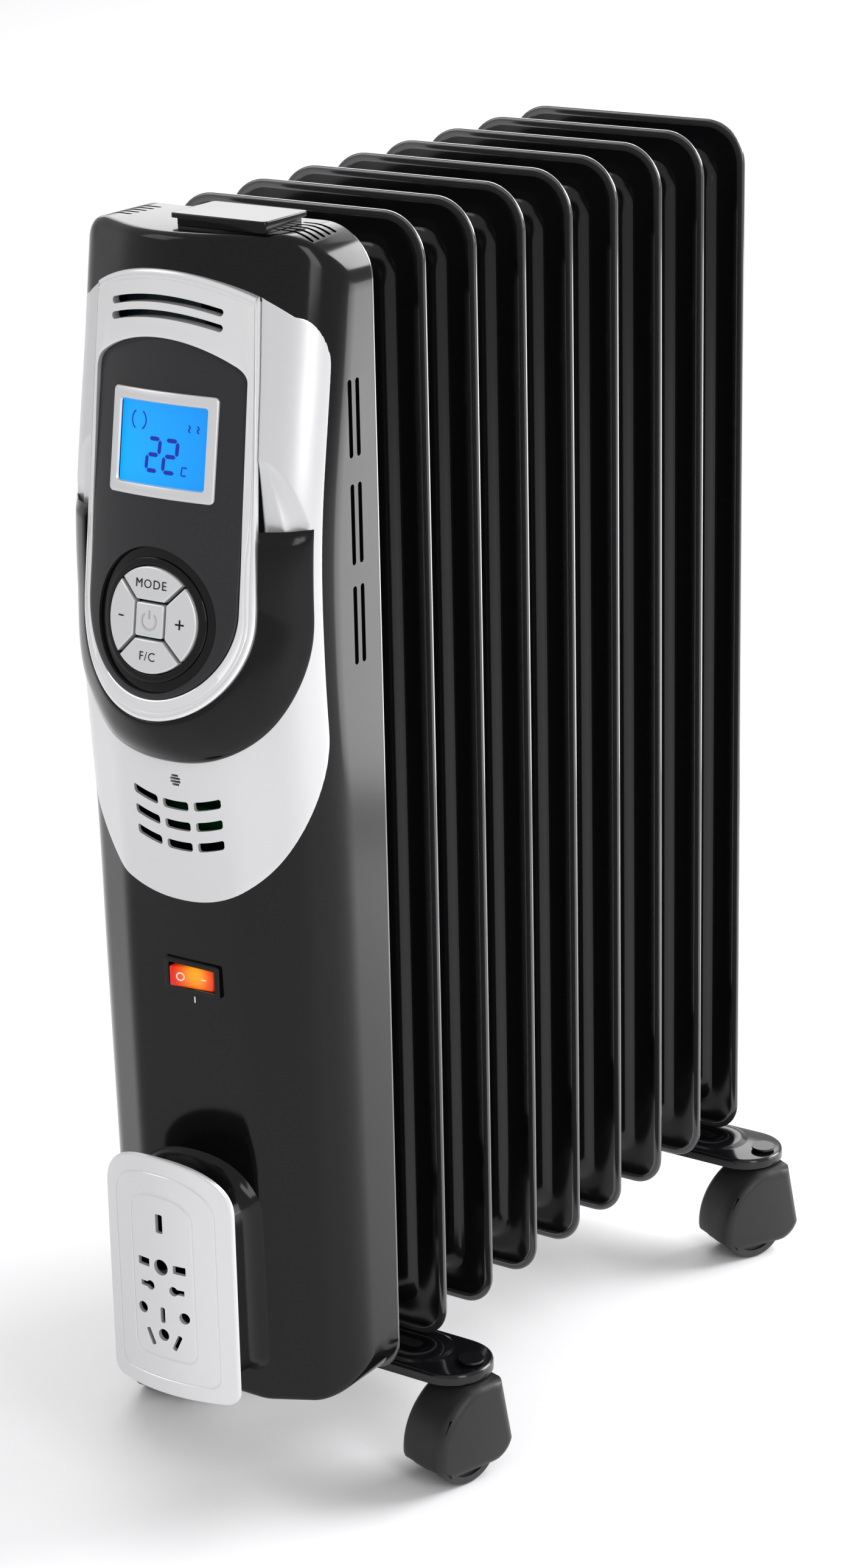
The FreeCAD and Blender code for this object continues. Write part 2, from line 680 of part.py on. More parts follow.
def make_grip():
    """A dark band that hugs the frame's lower half; its crest runs down to the bezel outside."""
    inner_half = dim("surround_half_width") + 0.4
    surround_cos = math.tan(math.radians(dim("surround_tilt")))
    outer_points = round_end_points(dim("grip_half_width"), dim("grip_round_z"), dim("grip_drop"),
                                    dim("grip_power"), 24)
    inner_points = round_end_points(inner_half, dim("surround_round_z"), inner_half, 2.0, 24)
    straight = [dim("grip_top_z") - 13 * step for step in range(3)]
    pairs = [((inner_half, z), (dim("grip_half_width"), z)) for z in straight]
    pairs += list(zip(inner_points, outer_points))
    pairs += [((-inner_half, z), (-dim("grip_half_width"), z)) for z in reversed(straight)]

    wires = []
    for (xi, zi), (xo, zo) in pairs:
        rim = dim("surround_depth") + surround_cos * (dim("tilt_z") - zi)
        rim -= dim("surround_curve") - math.sqrt(dim("surround_curve") ** 2 - xi ** 2)
        crest_x, crest_z = xi + 0.55 * (xo - xi), zi + 0.55 * (zo - zi)
        crest = 0.45 * rim + 0.55 * front_depth(xo, zo) + 3.4
        crest = max(crest, front_depth(crest_x, crest_z) + 2.0)
        rim = max(rim, front_depth(xi, zi) + 2.6)
        corners = [
            (xi, zi, front_depth(xi, zi) + 0.4), (xi, zi, rim - 1.2), (crest_x, crest_z, crest),
            (xo, zo, front_depth(xo, zo) + 1.4), (xo, zo, front_depth(xo, zo) + 0.4),
            (crest_x, crest_z, front_depth(crest_x, crest_z) + 0.5),
        ]
        points = [V(x, forward(depth), z) for x, z, depth in corners]
        wires.append(Part.makePolygon(points + points[:1]))
    return Part.makeLoft(wires, True, True).cut(front_block(0.2, -5))


keep(shaped("housing_shell", make_shell()), "housing_shell")
keep(shaped("bezel_panel", make_bezel()), "bezel_panel")
keep(shaped("panel_surround", make_surround()), "panel_surround")
keep(shaped("control_panel", make_control_panel()), "control_panel")
keep(shaped("display_frame", make_display_frame()), "display_frame")
keep(shaped("grip_band", make_grip()), "grip_band")


# ---------------------------------------------------------------- display and keys
def on_panel(solid, height):
    """Move a solid from the panel's local frame to its place at one height of the panel."""
    solid.Placement = panel_placement(height).multiply(solid.Placement)
    return solid


def panel_layer(solid, height, outer, inner):
    """The part of a local solid between two surfaces parallel to the panel."""
    return on_panel(solid, height).common(panel_body(outer)).cut(panel_body(inner))


def local_box(width, height, low, high, x=0.0, y=0.0):
    """A box centred at x, y in the panel's local frame, between two local heights."""
    return Part.makeBox(width, height, high - low, V(x - width / 2, y - height / 2, low))


def make_key(turn):
    """One quarter of the round cluster, with the power key's square left out."""
    gap = dim("keys_gap")
    wedge = Part.makeBox(60, 60, 40, V(0, 0, -20))
    wedge.rotate(V(), Z_AXIS, -45)
    wedge.translate(V(gap, 0, 0))
    wedge.rotate(V(), Z_AXIS, turn)
    side = dim("key_square") + 2 * gap
    quarter = Part.makeCylinder(dim("keys_radius"), 40, V(0, 0, -20)).common(wedge)
    quarter = quarter.cut(local_box(side, side, -20, 20))
    return panel_layer(quarter, dim("keys_z"), 0.9, 0.9 - dim("key_height"))


def make_power_key():
    side = dim("key_square")
    return panel_layer(local_box(side, side, -20, 20), dim("keys_z"), 0.9, 0.9 - dim("key_height"))


def make_ring():
    """A ring round the keys, stepped down from the panel's face."""
    def tube(outer, inner, top, bottom):
        solid = Part.makeCylinder(outer, 40, V(0, 0, -20)).cut(Part.makeCylinder(inner, 40, V(0, 0, -20)))
        return panel_layer(solid, dim("keys_z"), top, bottom)
    inner = dim("keys_radius") + 0.5
    step = inner + 3.5
    return tube(step, inner, -0.3, -4.0).fuse(tube(dim("ring_radius"), step - 0.01, -1.6, -4.0)).removeSplitter()


for label, turn in (("button_plus", 0), ("button_mode", 90), ("button_minus", 180), ("button_fc", 270)):
    keep(shaped(label, make_key(turn)), label)
keep(shaped("button_power", make_power_key()), "button_power")
keep(shaped("keypad_ring", make_ring()), "keypad_ring")

window = local_box(dim("display_width") - 3.6, dim("display_height") - 3.6, -20, 20)
keep(shaped("display_window", panel_layer(window, dim("display_z"), -0.1, -1.5)), "display_window")
module = local_box(50, 40, -10.9, -4.6)
keep(shaped("lcd_module", on_panel(module, dim("display_z"))), "lcd_module")
switches = [local_box(7, 7, -11.0, -6.6, x, y)
            for x, y in ((0, 0), (-16.5, 0), (16.5, 0), (0, -16.5), (0, 16.5))]
board = local_box(60, 124, -12.6, -11.0, 0, 41).fuse(switches)
keep(shaped("control_board", on_panel(board, dim("keys_z"))), "control_board")


# ---------------------------------------------------------------- rocker switch
ROCKER_FACE = front_depth(dim("rocker_x"), dim("rocker_z")) + 0.35
sheet.set(f"A{len(rows) + 1}", "rocker_face_y")
sheet.set(f"B{len(rows) + 1}", str(round(forward(ROCKER_FACE), 3)))
sheet.setAlias(f"B{len(rows) + 1}", "rocker_face_y")
doc.recompute()

flange = centred_box("rocker_flange", ("D.rocker_width", "1.6", "D.rocker_height"),
                     ("D.rocker_x", "D.rocker_face_y - 0.8", "D.rocker_z"))
sleeve = centred_box("rocker_sleeve", ("D.rocker_width - 3", "13", "D.rocker_height - 3.3"),
                     ("D.rocker_x", "D.rocker_face_y + 6.5", "D.rocker_z"))
opening = centred_box("rocker_opening", ("D.rocker_width - 6", "12", "D.rocker_height - 5.5"),
                      ("D.rocker_x", "D.rocker_face_y + 4", "D.rocker_z"))
keep(cut("rocker_frame", fuse("rocker_solid", flange, sleeve), opening), "rocker_frame")


def make_rocker_lever():
    """A shallow V seen from above, turned to its on position about the pin behind its middle."""
    half, height = 12.0, dim("rocker_height") - 6.3
    pivot_y = dim("rocker_face_y") + 3.0
    outline = [(-half, -5.6), (0, -4.2), (half, -5.6), (half - 1.5, 1.5), (2.0, 2.5), (-2.0, 2.5),
               (-half + 1.5, 1.5)]
    points = [V(x, y, -height / 2) for x, y in outline]
    lever = Part.Face(Part.makePolygon(points + points[:1])).extrude(V(0, 0, height))
    lever.Placement = FreeCAD.Placement(V(dim("rocker_x"), pivot_y, dim("rocker_z")),
                                        FreeCAD.Rotation(Z_AXIS, 8))
    return lever


keep(shaped("rocker_lever", make_rocker_lever()), "rocker_lever")


# ---------------------------------------------------------------- plug parking plate and cord hub
def arched_outline(half, low, high, drop):
    """Small lower corners, straight sides and a flat round top."""
    corner = 6.0
    cut_back = corner * (1 - math.sqrt(0.5))
    top = [(x, 2 * (high - drop) - z) for x, z in round_end_points(half, high - drop, drop, 2.3)]
    return [
        Part.LineSegment(p(-half + corner, low), p(half - corner, low)),
        Part.Arc(p(half - corner, low), p(half - cut_back, low + cut_back), p(half, low + corner)),
        Part.LineSegment(p(half, low + corner), p(half, high - drop)),
        spline(top),
        Part.LineSegment(p(-half, high - drop), p(-half, low + corner)),
        Part.Arc(p(-half, low + corner), p(-half + cut_back, low + cut_back), p(-half + corner, low)),
    ]


def plate_body(inset):
    radius = dim("plate_curve") - inset
    centre_y = forward(dim("plate_depth")) + dim("plate_curve")
    return Part.makeCylinder(radius, 300, V(0, centre_y, 0), Z_AXIS)


def pin_holes():
    """Holes for the pins of several kinds of plug, the same on both sides of the middle."""
    near, far = 90, 110
    holes = []
    for x, z, radius in ((0, 141, 4.2), (0, 104.5, 3.2), (12.7, 116.2, 3.0)):
        for side in ((-1, 1) if x else (1,)):
            axis = V(0, -1, 0)
            holes.append(Part.makeCylinder(radius, far - near, V(side * x, forward(near), z), axis))
    holes.append(block(2.1, 5.0, 0, 164.3, near, far))
    holes.append(block(1.4, 4.2, 0, 115.2, near, far))
    for side in (-1, 1):
        holes.append(block(3.6, 2.2, side * 10.8, 141.6, near, far))
        holes.append(block(2.6, 1.4, side * 9.6, 130.2, near, far))
        holes.append(Part.makeCylinder(2.4, far - near, V(side * 7.0, forward(near), 129.7), V(0, -1, 0)))
        holes.append(block(1.3, 4.6, side * 8.0, 101.8, near, far, tilt=side * -25))
    return holes


def make_plate():
    outline = arched_outline(dim("plate_half_width"), dim("plate_bottom_z"), dim("plate_top_z"), 26)
    plate = prism(outline, 60, FAR).common(plate_body(0)).cut(plate_body(dim("plate_thickness")))
    return plate.cut(pin_holes())


def make_cord_hub():
    """A pedestal between the housing and the plate, hollow towards the plate."""
    half, low, high = dim("hub_half_width"), dim("plate_bottom_z") + 10, dim("plate_top_z") - 12
    back = front_block(0.15, -5)
    outer = prism(arched_outline(half, low, high, 24), 30, FAR)
    outer = outer.common(plate_body(dim("plate_thickness"))).cut(back)
    inner = prism(arched_outline(half - 2.5, low + 2.5, high - 2.5, 24), 30, FAR)
    return outer.cut(inner.cut(front_block(3.0, -5)))


keep(shaped("plug_plate", make_plate()), "plug_plate")
keep(shaped("cord_hub", make_cord_hub()), "cord_hub")

gland_place = ("0", "D.first_fin_y - 25")
gland_tube = cylinder("gland_tube", "6", "8", gland_place + ("D.shell_bottom_z - 0.5",))
gland_collar = cylinder("gland_collar", "9", "2.6", gland_place + ("D.shell_bottom_z - 2.7",))
gland_bore = cylinder("gland_bore", "3.4", "20", gland_place + ("D.shell_bottom_z - 8",))
keep(cut("cord_gland", fuse("gland_solid", gland_tube, gland_collar), gland_bore), "cord_gland")


# ---------------------------------------------------------------- cap on top
cap_y = "D.first_fin_y - 28"
cap_lip = centred_box("cap_lip", ("D.cap_width", "D.cap_length", "2.4"),
                      ("D.cap_x", cap_y, "D.cap_top_z - 1.2"))
cap_stem = centred_box("cap_stem", ("D.cap_width - 4", "D.cap_length - 4", "3.55"),
                       ("D.cap_x", cap_y, "D.cap_top_z - 4.1"))
keep(fuse("top_cap", cap_lip, cap_stem), "top_cap")


# ---------------------------------------------------------------- inside the housing
plate_face = "D.first_fin_y - D.chamber_depth / 2 - 3"
back_sheet = centred_box("back_sheet", ("128", "1.2", "548"), ("0", plate_face + " + 0.6", "352"))
element_window = cylinder("element_window", "D.hub_radius + 2", "20",
                          ("0", plate_face + " - 10", LOWER_HUB_Z), Y_AXIS)
plug_window = cylinder("plug_window", "D.hub_radius + 2", "20",
                       ("0", plate_face + " - 10", UPPER_HUB_Z), Y_AXIS)
screw_places = [(x, z) for x in (-40, 40) for z in (100, 620)]
screw_windows = [cylinder(f"screw_window_{n}", "1.9", "20", (str(x), plate_face + " - 10", str(z)), Y_AXIS)
                 for n, (x, z) in enumerate(screw_places)]
keep(cut("back_plate", back_sheet, element_window, plug_window, *screw_windows), "back_plate")

screws = []
for n, (x, z) in enumerate(screw_places):
    head = cylinder(f"screw_head_{n}", "3.4", "1.6", (str(x), plate_face + " + 1.25", str(z)), Y_AXIS)
    shank = cylinder(f"screw_shank_{n}", "1.5", "17", (str(x), plate_face + " - 15.5", str(z)), Y_AXIS)
    screws.append(fuse(f"screw_{n}", head, shank))
keep(group("housing_screws", screws), "housing_screws")

flange_start = "D.first_fin_y - D.chamber_depth / 2 - 4"
flange_disc = cylinder("flange_disc", "D.hub_radius - 0.5", "4", ("0", flange_start, LOWER_HUB_Z), Y_AXIS)
rod_holes = [cylinder(f"rod_hole_{n}", "4.05", "12", ("0", flange_start + " - 2", f"{LOWER_HUB_Z} + {shift}"),
                      Y_AXIS) for n, shift in enumerate((-7, 7))]
keep(cut("element_flange", flange_disc, *rod_holes), "element_flange")

rods = [cylinder(f"heating_rod_{n}", "4", "300", ("0", flange_start + " - 10", f"{LOWER_HUB_Z} + {shift}"),
                 Y_AXIS) for n, shift in enumerate((-7, 7))]
bend = doc.addObject("Part::Torus", "heating_bend")
bend.Radius1, bend.Radius2, bend.Angle3 = 7, 4, 180
bend.Placement = FreeCAD.Placement(V(), FreeCAD.Rotation(V(0, 0, 1), V(0, 1, 0), V(1, 0, 0), "ZXY"))
bind(bend, Placement__Base__y=flange_start + " + 290", Placement__Base__z=LOWER_HUB_Z)
keep(fuse("heating_element", *rods, bend), "heating_element")

cutout_body = cylinder("cutout_body", "8", "6", ("30", plate_face + " - 6.1", "300"), Y_AXIS)
cutout_tabs = centred_box("cutout_tabs", ("22", "1.2", "5"), ("30", plate_face + " - 6.7", "300"))
keep(fuse("thermal_cutout", cutout_body, cutout_tabs), "thermal_cutout")
keep(centred_box("tilt_switch", ("18", "12", "24"), ("-34", plate_face + " - 6.2", "150")), "tilt_switch")

power_sheet = centred_box("power_sheet", ("92", "1.6", "80"), ("0", plate_face + " - 14", "380"))
relays = [centred_box(f"relay_{n}", ("16", "14", "20"), (str(x), plate_face + " - 21.8", "392"))
          for n, x in enumerate((-30, -8, 14))]
terminals = centred_box("terminals", ("60", "9", "9"), ("0", plate_face + " - 19.3", "352"))
standoffs = [cylinder(f"standoff_{n}", "2.5", "13.15", (str(x), plate_face + " - 13.2", str(z)), Y_AXIS)
             for n, (x, z) in enumerate([(x, z) for x in (-41, 41) for z in (346, 414)])]
keep(fuse("power_board", power_sheet, terminals, *relays, *standoffs), "power_board")


# ---------------------------------------------------------------- foot brackets
def stadium(name, half_length, width, height, y, top):
    """A plate with round ends, centred at x = 0."""
    middle = centred_box(name + "_middle", (f"2 * ({half_length}) - ({width})", width, height),
                         ("0", y, f"{top} - ({height}) / 2"))
    ends = [cylinder(f"{name}_end_{n}", f"({width}) / 2", height,
                     (f"{side} * (({half_length}) - ({width}) / 2)", y, f"{top} - ({height})"))
            for n, side in enumerate((-1, 1))]
    return fuse(name, middle, *ends)


BRACKET_TOP = "D.fin_foot_z - D.bracket_gap"


def make_bracket(label, y, bolt_y):
    """A pressed steel channel with a skirt all round, drilled for two castors and the U bolt."""
    outer = stadium(label + "_outer", "D.bracket_half_length", "D.bracket_width", "D.bracket_height",
                    y, BRACKET_TOP)
    inner = stadium(label + "_inner", "D.bracket_half_length - D.bracket_sheet",
                    "D.bracket_width - 2 * D.bracket_sheet", "D.bracket_height", y,
                    f"{BRACKET_TOP} - D.bracket_sheet")
    holes = []
    for n, side in enumerate((-1, 1)):
        holes.append(cylinder(f"{label}_stem_hole_{n}", "D.stem_radius", "20",
                              (f"{side} * D.stem_x", y, "48")))
        holes.append(cylinder(f"{label}_bolt_hole_{n}", "2.7", "20", (f"{side} * (D.hub_radius + 2.8)",
                                                                       bolt_y, "48")))
    return keep(cut(label, outer, inner, *holes), label)


def make_u_bolt(name, y):
    """A rod bent over the lower collector, with both legs through the bracket."""
    arch = doc.addObject("Part::Torus", name + "_arch")
    arch.Radius2, arch.Angle3 = 2.5, 180
    bind(arch, Radius1="D.hub_radius + 2.8")
    arch.Placement = FreeCAD.Placement(V(), FreeCAD.Rotation(X_AXIS, 90))
    bind(arch, Placement__Base__y=y, Placement__Base__z=LOWER_HUB_Z)
    legs = [cylinder(f"{name}_leg_{n}", "2.5", f"{LOWER_HUB_Z} - 46", (f"{side} * (D.hub_radius + 2.8)", y, "46"))
            for n, side in enumerate((-1, 1))]
    return fuse(name, arch, *legs)


def make_wing_nut(name, x, y):
    body = cylinder(name + "_body", "5", "6", (x, y, f"{BRACKET_TOP} - D.bracket_sheet - 6.1"))
    wings = centred_box(name + "_wings", ("2", "13", "5"), (x, y, f"{BRACKET_TOP} - D.bracket_sheet - 6.5"))
    bore = cylinder(name + "_bore", "2.6", "20", (x, y, "42"))
    return cut(name, fuse(name + "_solid", body, wings), bore)


bolt_places = {"front": "D.first_fin_y + 0.5 * D.fin_pitch",
               "rear": "D.first_fin_y + (D.fin_count - 1.5) * D.fin_pitch"}
bracket_places = {"front": "D.bracket_front_y", "rear": "D.bracket_rear_y"}
for end in ("front", "rear"):
    make_bracket(f"foot_bracket_{end}", bracket_places[end], bolt_places[end])
keep(group("u_bolts", [make_u_bolt(f"u_bolt_{end}", bolt_places[end]) for end in ("front", "rear")]), "u_bolts")
keep(group("wing_nuts", [make_wing_nut(f"wing_nut_{end}_{n}", f"{side} * (D.hub_radius + 2.8)", bolt_places[end])
                         for end in ("front", "rear") for n, side in enumerate((-1, 1))]), "wing_nuts")


# ---------------------------------------------------------------- castors
CORNERS = [(f"{end[0]}{side_name[0]}", side, end) for end in ("front", "rear")
           for side_name, side in (("left", -1), ("right", 1))]


def castor_place(side, end):
    """Placement of one castor: its swivel axis, turned to its rest angle, at floor level."""
    turn = dim(f"{end}_castor_turn") * -side
    y = dim(f"bracket_{end}_y")
    return FreeCAD.Placement(V(side * dim("stem_x"), y, 0), FreeCAD.Rotation(Z_AXIS, turn))


pins = []
for corner, side, end in CORNERS:
    x, y = f"{side} * D.stem_x", bracket_places[end]
    stem = cylinder(f"stem_{corner}", "D.stem_radius", f"{BRACKET_TOP} + 1.2 - 40.6", (x, y, "40.6"))
    collar = cylinder(f"stem_collar_{corner}", "7", f"{BRACKET_TOP} - D.bracket_sheet - D.hood_top_z - 0.35",
                      (x, y, "D.hood_top_z + 0.3"))
    head = cylinder(f"stem_head_{corner}", "6.5", "1.2", (x, y, f"{BRACKET_TOP} + 0.02"))
    pins.append(fuse(f"castor_pin_{corner}", stem, collar, head))
keep(group("castor_pins", pins), "castor_pins")


def side_face(points_and_arcs):
    """A face in the castor's YZ plane; each entry is a list of two points (line) or three (arc)."""
    edges = []
    for entry in points_and_arcs:
        spots = [V(0, y, z) for y, z in entry]
        edges.append((Part.Arc if len(spots) == 3 else Part.LineSegment)(*spots).toShape())
    return Part.Face(Part.Wire(edges))


def rounded_bar(half, top, radius, start, direction):
    """A long bar whose section has two rounded corners on its far side (up, or towards the front)."""
    upright = abs(direction.z) > 0.5
    def spot(a, b):
        return start + (V(a, -b, 0) if upright else V(a, 0, b))
    cut_back = radius * (1 - math.sqrt(0.5))
    points = [(-half, -40), (-half, top - radius), (-half + cut_back, top - cut_back), (-half + radius, top),
              (half - radius, top), (half - cut_back, top - cut_back), (half, top - radius), (half, -40)]
    a, b, c, d, e, f, g, h = [spot(*point) for point in points]
    edges = [Part.LineSegment(a, b), Part.Arc(b, c, d), Part.LineSegment(d, e), Part.Arc(e, f, g),
             Part.LineSegment(g, h), Part.LineSegment(h, a)]
    return Part.Face(Part.Wire([edge.toShape() for edge in edges])).extrude(direction * 120)


def hood_profile(inset):
    """Side view of the hood: flat top, round front, slanted back and a rounded lower edge."""
    top, low = dim("hood_top_z") - inset, dim("hood_bottom_z")
    front = -dim("castor_trail") - dim("wheel_radius") - 2.4 + inset
    back = 15.5 - inset
    return [
        [(9 - inset, top), (back, 16)],
        [(back, 16), (back - 5, 8.5), (back - 14, low)],
        [(back - 14, low), (front + 9, low)],
        [(front + 9, low), (front + 3, 8.5), (front, 15)],
        [(front, 15), (front + 5, 35), (-11 + inset, top)],
        [(-11 + inset, top), (9 - inset, top)],
    ]


def make_hood():
    """A moulded hood over both wheels with a web between them that holds the axle and the stem."""
    half, wall, top = dim("hood_width") / 2, dim("hood_wall"), dim("hood_top_z")
    hood = side_face(hood_profile(0))
    hood.translate(V(-half, 0, 0))
    hood = hood.extrude(V(2 * half, 0, 0))
    hood = hood.common(rounded_bar(half, top, 6, V(0, -60, 0), V(0, 1, 0)))
    hood = hood.common(rounded_bar(half, dim("castor_trail") + dim("wheel_radius") + 2.5, 9, V(0, 0, -5),
                                   V(0, 0, 1)))
    web = dim("wheel_centre") - dim("wheel_width") / 2 - 0.5
    for side in (-1, 1):
        chamber = side_face(hood_profile(wall))
        chamber = chamber.extrude(V(half - wall - web, 0, 0))
        chamber = chamber.common(Part.makeBox(100, 200, 39.5, V(-50, -100, 0)))
        floor_gap = Part.makeBox(half - wall - web, 35, 16, V(0, -dim("castor_trail") - 17.5, 0))
        chamber = chamber.fuse(floor_gap)
        chamber.translate(V(web if side > 0 else -half + wall, 0, 0))
        hood = hood.cut(chamber)
    bore = Part.makeCylinder(dim("stem_radius") + 0.05, 20, V(0, 0, 40))
    axle_reach = half - wall + 0.8
    axle_hole = Part.makeCylinder(dim("axle_radius") + 0.02, 2 * axle_reach,
                                  V(-axle_reach, -dim("castor_trail"), dim("wheel_radius")), X_AXIS)
    return hood.cut([bore, axle_hole])


def make_axle():
    reach = dim("hood_width") / 2 - dim("hood_wall") + 0.75
    return Part.makeCylinder(dim("axle_radius"), 2 * reach,
                             V(-reach, -dim("castor_trail"), dim("wheel_radius")), X_AXIS)


def make_wheel(side):
    """A moulded wheel with rounded shoulders, a dished outer face and a bore."""
    width, radius = dim("wheel_width"), dim("wheel_radius")
    start = V(side * dim("wheel_centre") - width / 2, -dim("castor_trail"), radius)
    wheel = Part.makeCylinder(radius, width, start, X_AXIS)
    wheel = wheel.makeFillet(1.6, [edge for edge in wheel.Edges if edge.Length > 6 * radius])
    dish_x = start.x - 1 if side < 0 else start.x + width - 1.5
    dish = Part.makeCylinder(radius - 4.5, 2.5, V(dish_x, start.y, radius), X_AXIS)
    dish = dish.cut(Part.makeCylinder(5, 2.5, V(dish_x, start.y, radius), X_AXIS))
    return wheel.cut([dish, Part.makeCylinder(dim("axle_radius") + 0.05, width, start, X_AXIS)])


for corner, side, end in CORNERS:
    pieces = [(f"castor_hood_{corner}", make_hood()), (f"castor_axle_{corner}", make_axle()),
              (f"wheel_{corner}_left", make_wheel(-1)), (f"wheel_{corner}_right", make_wheel(1))]
    for label, shape in pieces:
        piece = shaped(label, shape)
        piece.Placement = castor_place(side, end)
        keep(piece, label)


# ---------------------------------------------------------------- check and write the sub-parts
doc.recompute()
for piece in doc.Objects:
    if "Invalid" in piece.State or "Error" in piece.State:
        raise RuntimeError(f"{piece.Name} did not recompute: {piece.State}")
for piece in SUB_PARTS:
    if piece.Shape.isNull() or not piece.Shape.isValid():
        raise RuntimeError(f"{piece.Label} has no valid shape")

os.makedirs("parts", exist_ok=True)
for piece in SUB_PARTS:
    piece.Shape.exportStep(f"parts/{piece.Label}.step")
print(f"{len(SUB_PARTS)} sub-parts written")
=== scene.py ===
"""Looks of an oil filled radiator heater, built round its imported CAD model.

The helpers work in millimetres and in the row's frame: x to the right, depth measured forwards from
the first fin, z up. Meshes are turned into metres when they are made.
"""
import cmath
import json
import math

import bmesh
import bpy
import numpy as np
from mathutils import Matrix, Vector


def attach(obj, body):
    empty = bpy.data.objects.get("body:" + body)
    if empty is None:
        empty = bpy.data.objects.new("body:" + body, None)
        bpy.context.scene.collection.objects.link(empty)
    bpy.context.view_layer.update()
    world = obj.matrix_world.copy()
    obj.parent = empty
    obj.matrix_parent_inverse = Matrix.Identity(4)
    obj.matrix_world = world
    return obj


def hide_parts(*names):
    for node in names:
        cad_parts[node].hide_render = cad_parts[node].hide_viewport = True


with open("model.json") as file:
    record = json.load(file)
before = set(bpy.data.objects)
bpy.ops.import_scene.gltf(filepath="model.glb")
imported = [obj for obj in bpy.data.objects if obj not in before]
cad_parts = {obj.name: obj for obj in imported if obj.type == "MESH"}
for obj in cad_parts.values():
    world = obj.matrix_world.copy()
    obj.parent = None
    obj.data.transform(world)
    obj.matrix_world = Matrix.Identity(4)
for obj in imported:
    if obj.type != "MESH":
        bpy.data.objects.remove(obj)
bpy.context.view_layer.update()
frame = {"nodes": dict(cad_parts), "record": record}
scene = bpy.context.scene
MM = 0.001


# ---------------------------------------------------------------- camera, floor and light
def make_camera():
    """The photo's own view: place, direction and focal length, with a small roll."""
    data = bpy.data.cameras.new("camera")
    data.sensor_fit = "VERTICAL"
    data.sensor_height = 36.0
    data.lens = 85.95
    data.clip_end = 20
    camera = bpy.data.objects.new("camera", data)
    yaw, pitch, roll = math.radians(34.40), math.radians(18.92), math.radians(-1.22)
    forward = Vector((-math.sin(yaw) * math.cos(pitch), math.cos(yaw) * math.cos(pitch), -math.sin(pitch)))
    level = Vector((math.cos(yaw), math.sin(yaw), 0))
    upright = level.cross(forward)
    right = level * math.cos(roll) + upright * math.sin(roll)
    up = upright * math.cos(roll) - level * math.sin(roll)
    turn = Matrix((right, up, -forward)).transposed().to_4x4()
    camera.matrix_world = Matrix.Translation(Vector((1.0411, -1.51115, 0.9517))) @ turn
    scene.collection.objects.link(camera)
    scene.camera = camera


def softbox(name, place, target, width, height, power):
    """A rectangular lamp turned to its target, unseen by the camera."""
    data = bpy.data.lights.new(name, "AREA")
    data.shape = "RECTANGLE"
    data.size, data.size_y = width, height
    data.energy = power
    lamp = bpy.data.objects.new(name, data)
    lamp.location = place
    lamp.rotation_euler = (Vector(target) - Vector(place)).to_track_quat("-Z", "Y").to_euler()
    lamp.visible_camera = False
    scene.collection.objects.link(lamp)


make_camera()
world = bpy.data.worlds.new("studio")
scene.world = world
world.use_nodes = True
background = world.node_tree.nodes["Background"]
background.inputs["Color"].default_value = (1.0, 1.0, 1.0, 1)
background.inputs["Strength"].default_value = 0.72
scene.view_settings.view_transform = "Standard"

middle = (0, 0, 0.33)
softbox("key", (-1.7, -1.6, 1.9), middle, 1.2, 1.6, 13)
softbox("side", (2.1, -1.1, 1.4), middle, 0.8, 1.8, 22)
softbox("sky", (-1.15, 1.4, 1.4), (0, -0.1, 0.6), 1.5, 1.0, 9)
softbox("low_card", (0.66, 0.64, 0.25), (0.0, -0.25, 0.25), 0.62, 0.42, 3.2)
softbox("behind", (1.5, 2.2, 1.6), (0.8, 1.0, 0), 1.6, 1.6, 110)
softbox("far", (-1.5, 4.8, 3.4), (-1.5, 4.8, 0), 5.0, 4.0, 130)


# ---------------------------------------------------------------- materials
BUMP_HEIGHT = 0.0004
COAT_ROUGHNESS = 0.04
FINISH = {}


def add_node(tree, kind, **values):
    """A new node with some of its inputs set; an underscore stands for a space in an input's name."""
    node = tree.nodes.new(kind)
    for name, value in values.items():
        node.inputs[name.replace("_", " ")].default_value = value
    return node


def place_noise(tree, scale, **values):
    """Noise that is fixed to the object."""
    noise = add_node(tree, "ShaderNodeTexNoise", Scale=scale, **values)
    tree.links.new(tree.nodes.new("ShaderNodeTexCoord").outputs["Object"], noise.inputs["Vector"])
    return noise.outputs["Fac"]


def distance_from(tree, place):
    """Each point's distance in metres from a lamp behind the surface."""
    distance = tree.nodes.new("ShaderNodeVectorMath")
    distance.operation = "DISTANCE"
    distance.inputs[1].default_value = place
    tree.links.new(tree.nodes.new("ShaderNodeTexCoord").outputs["Object"], distance.inputs[0])
    return distance.outputs["Value"]


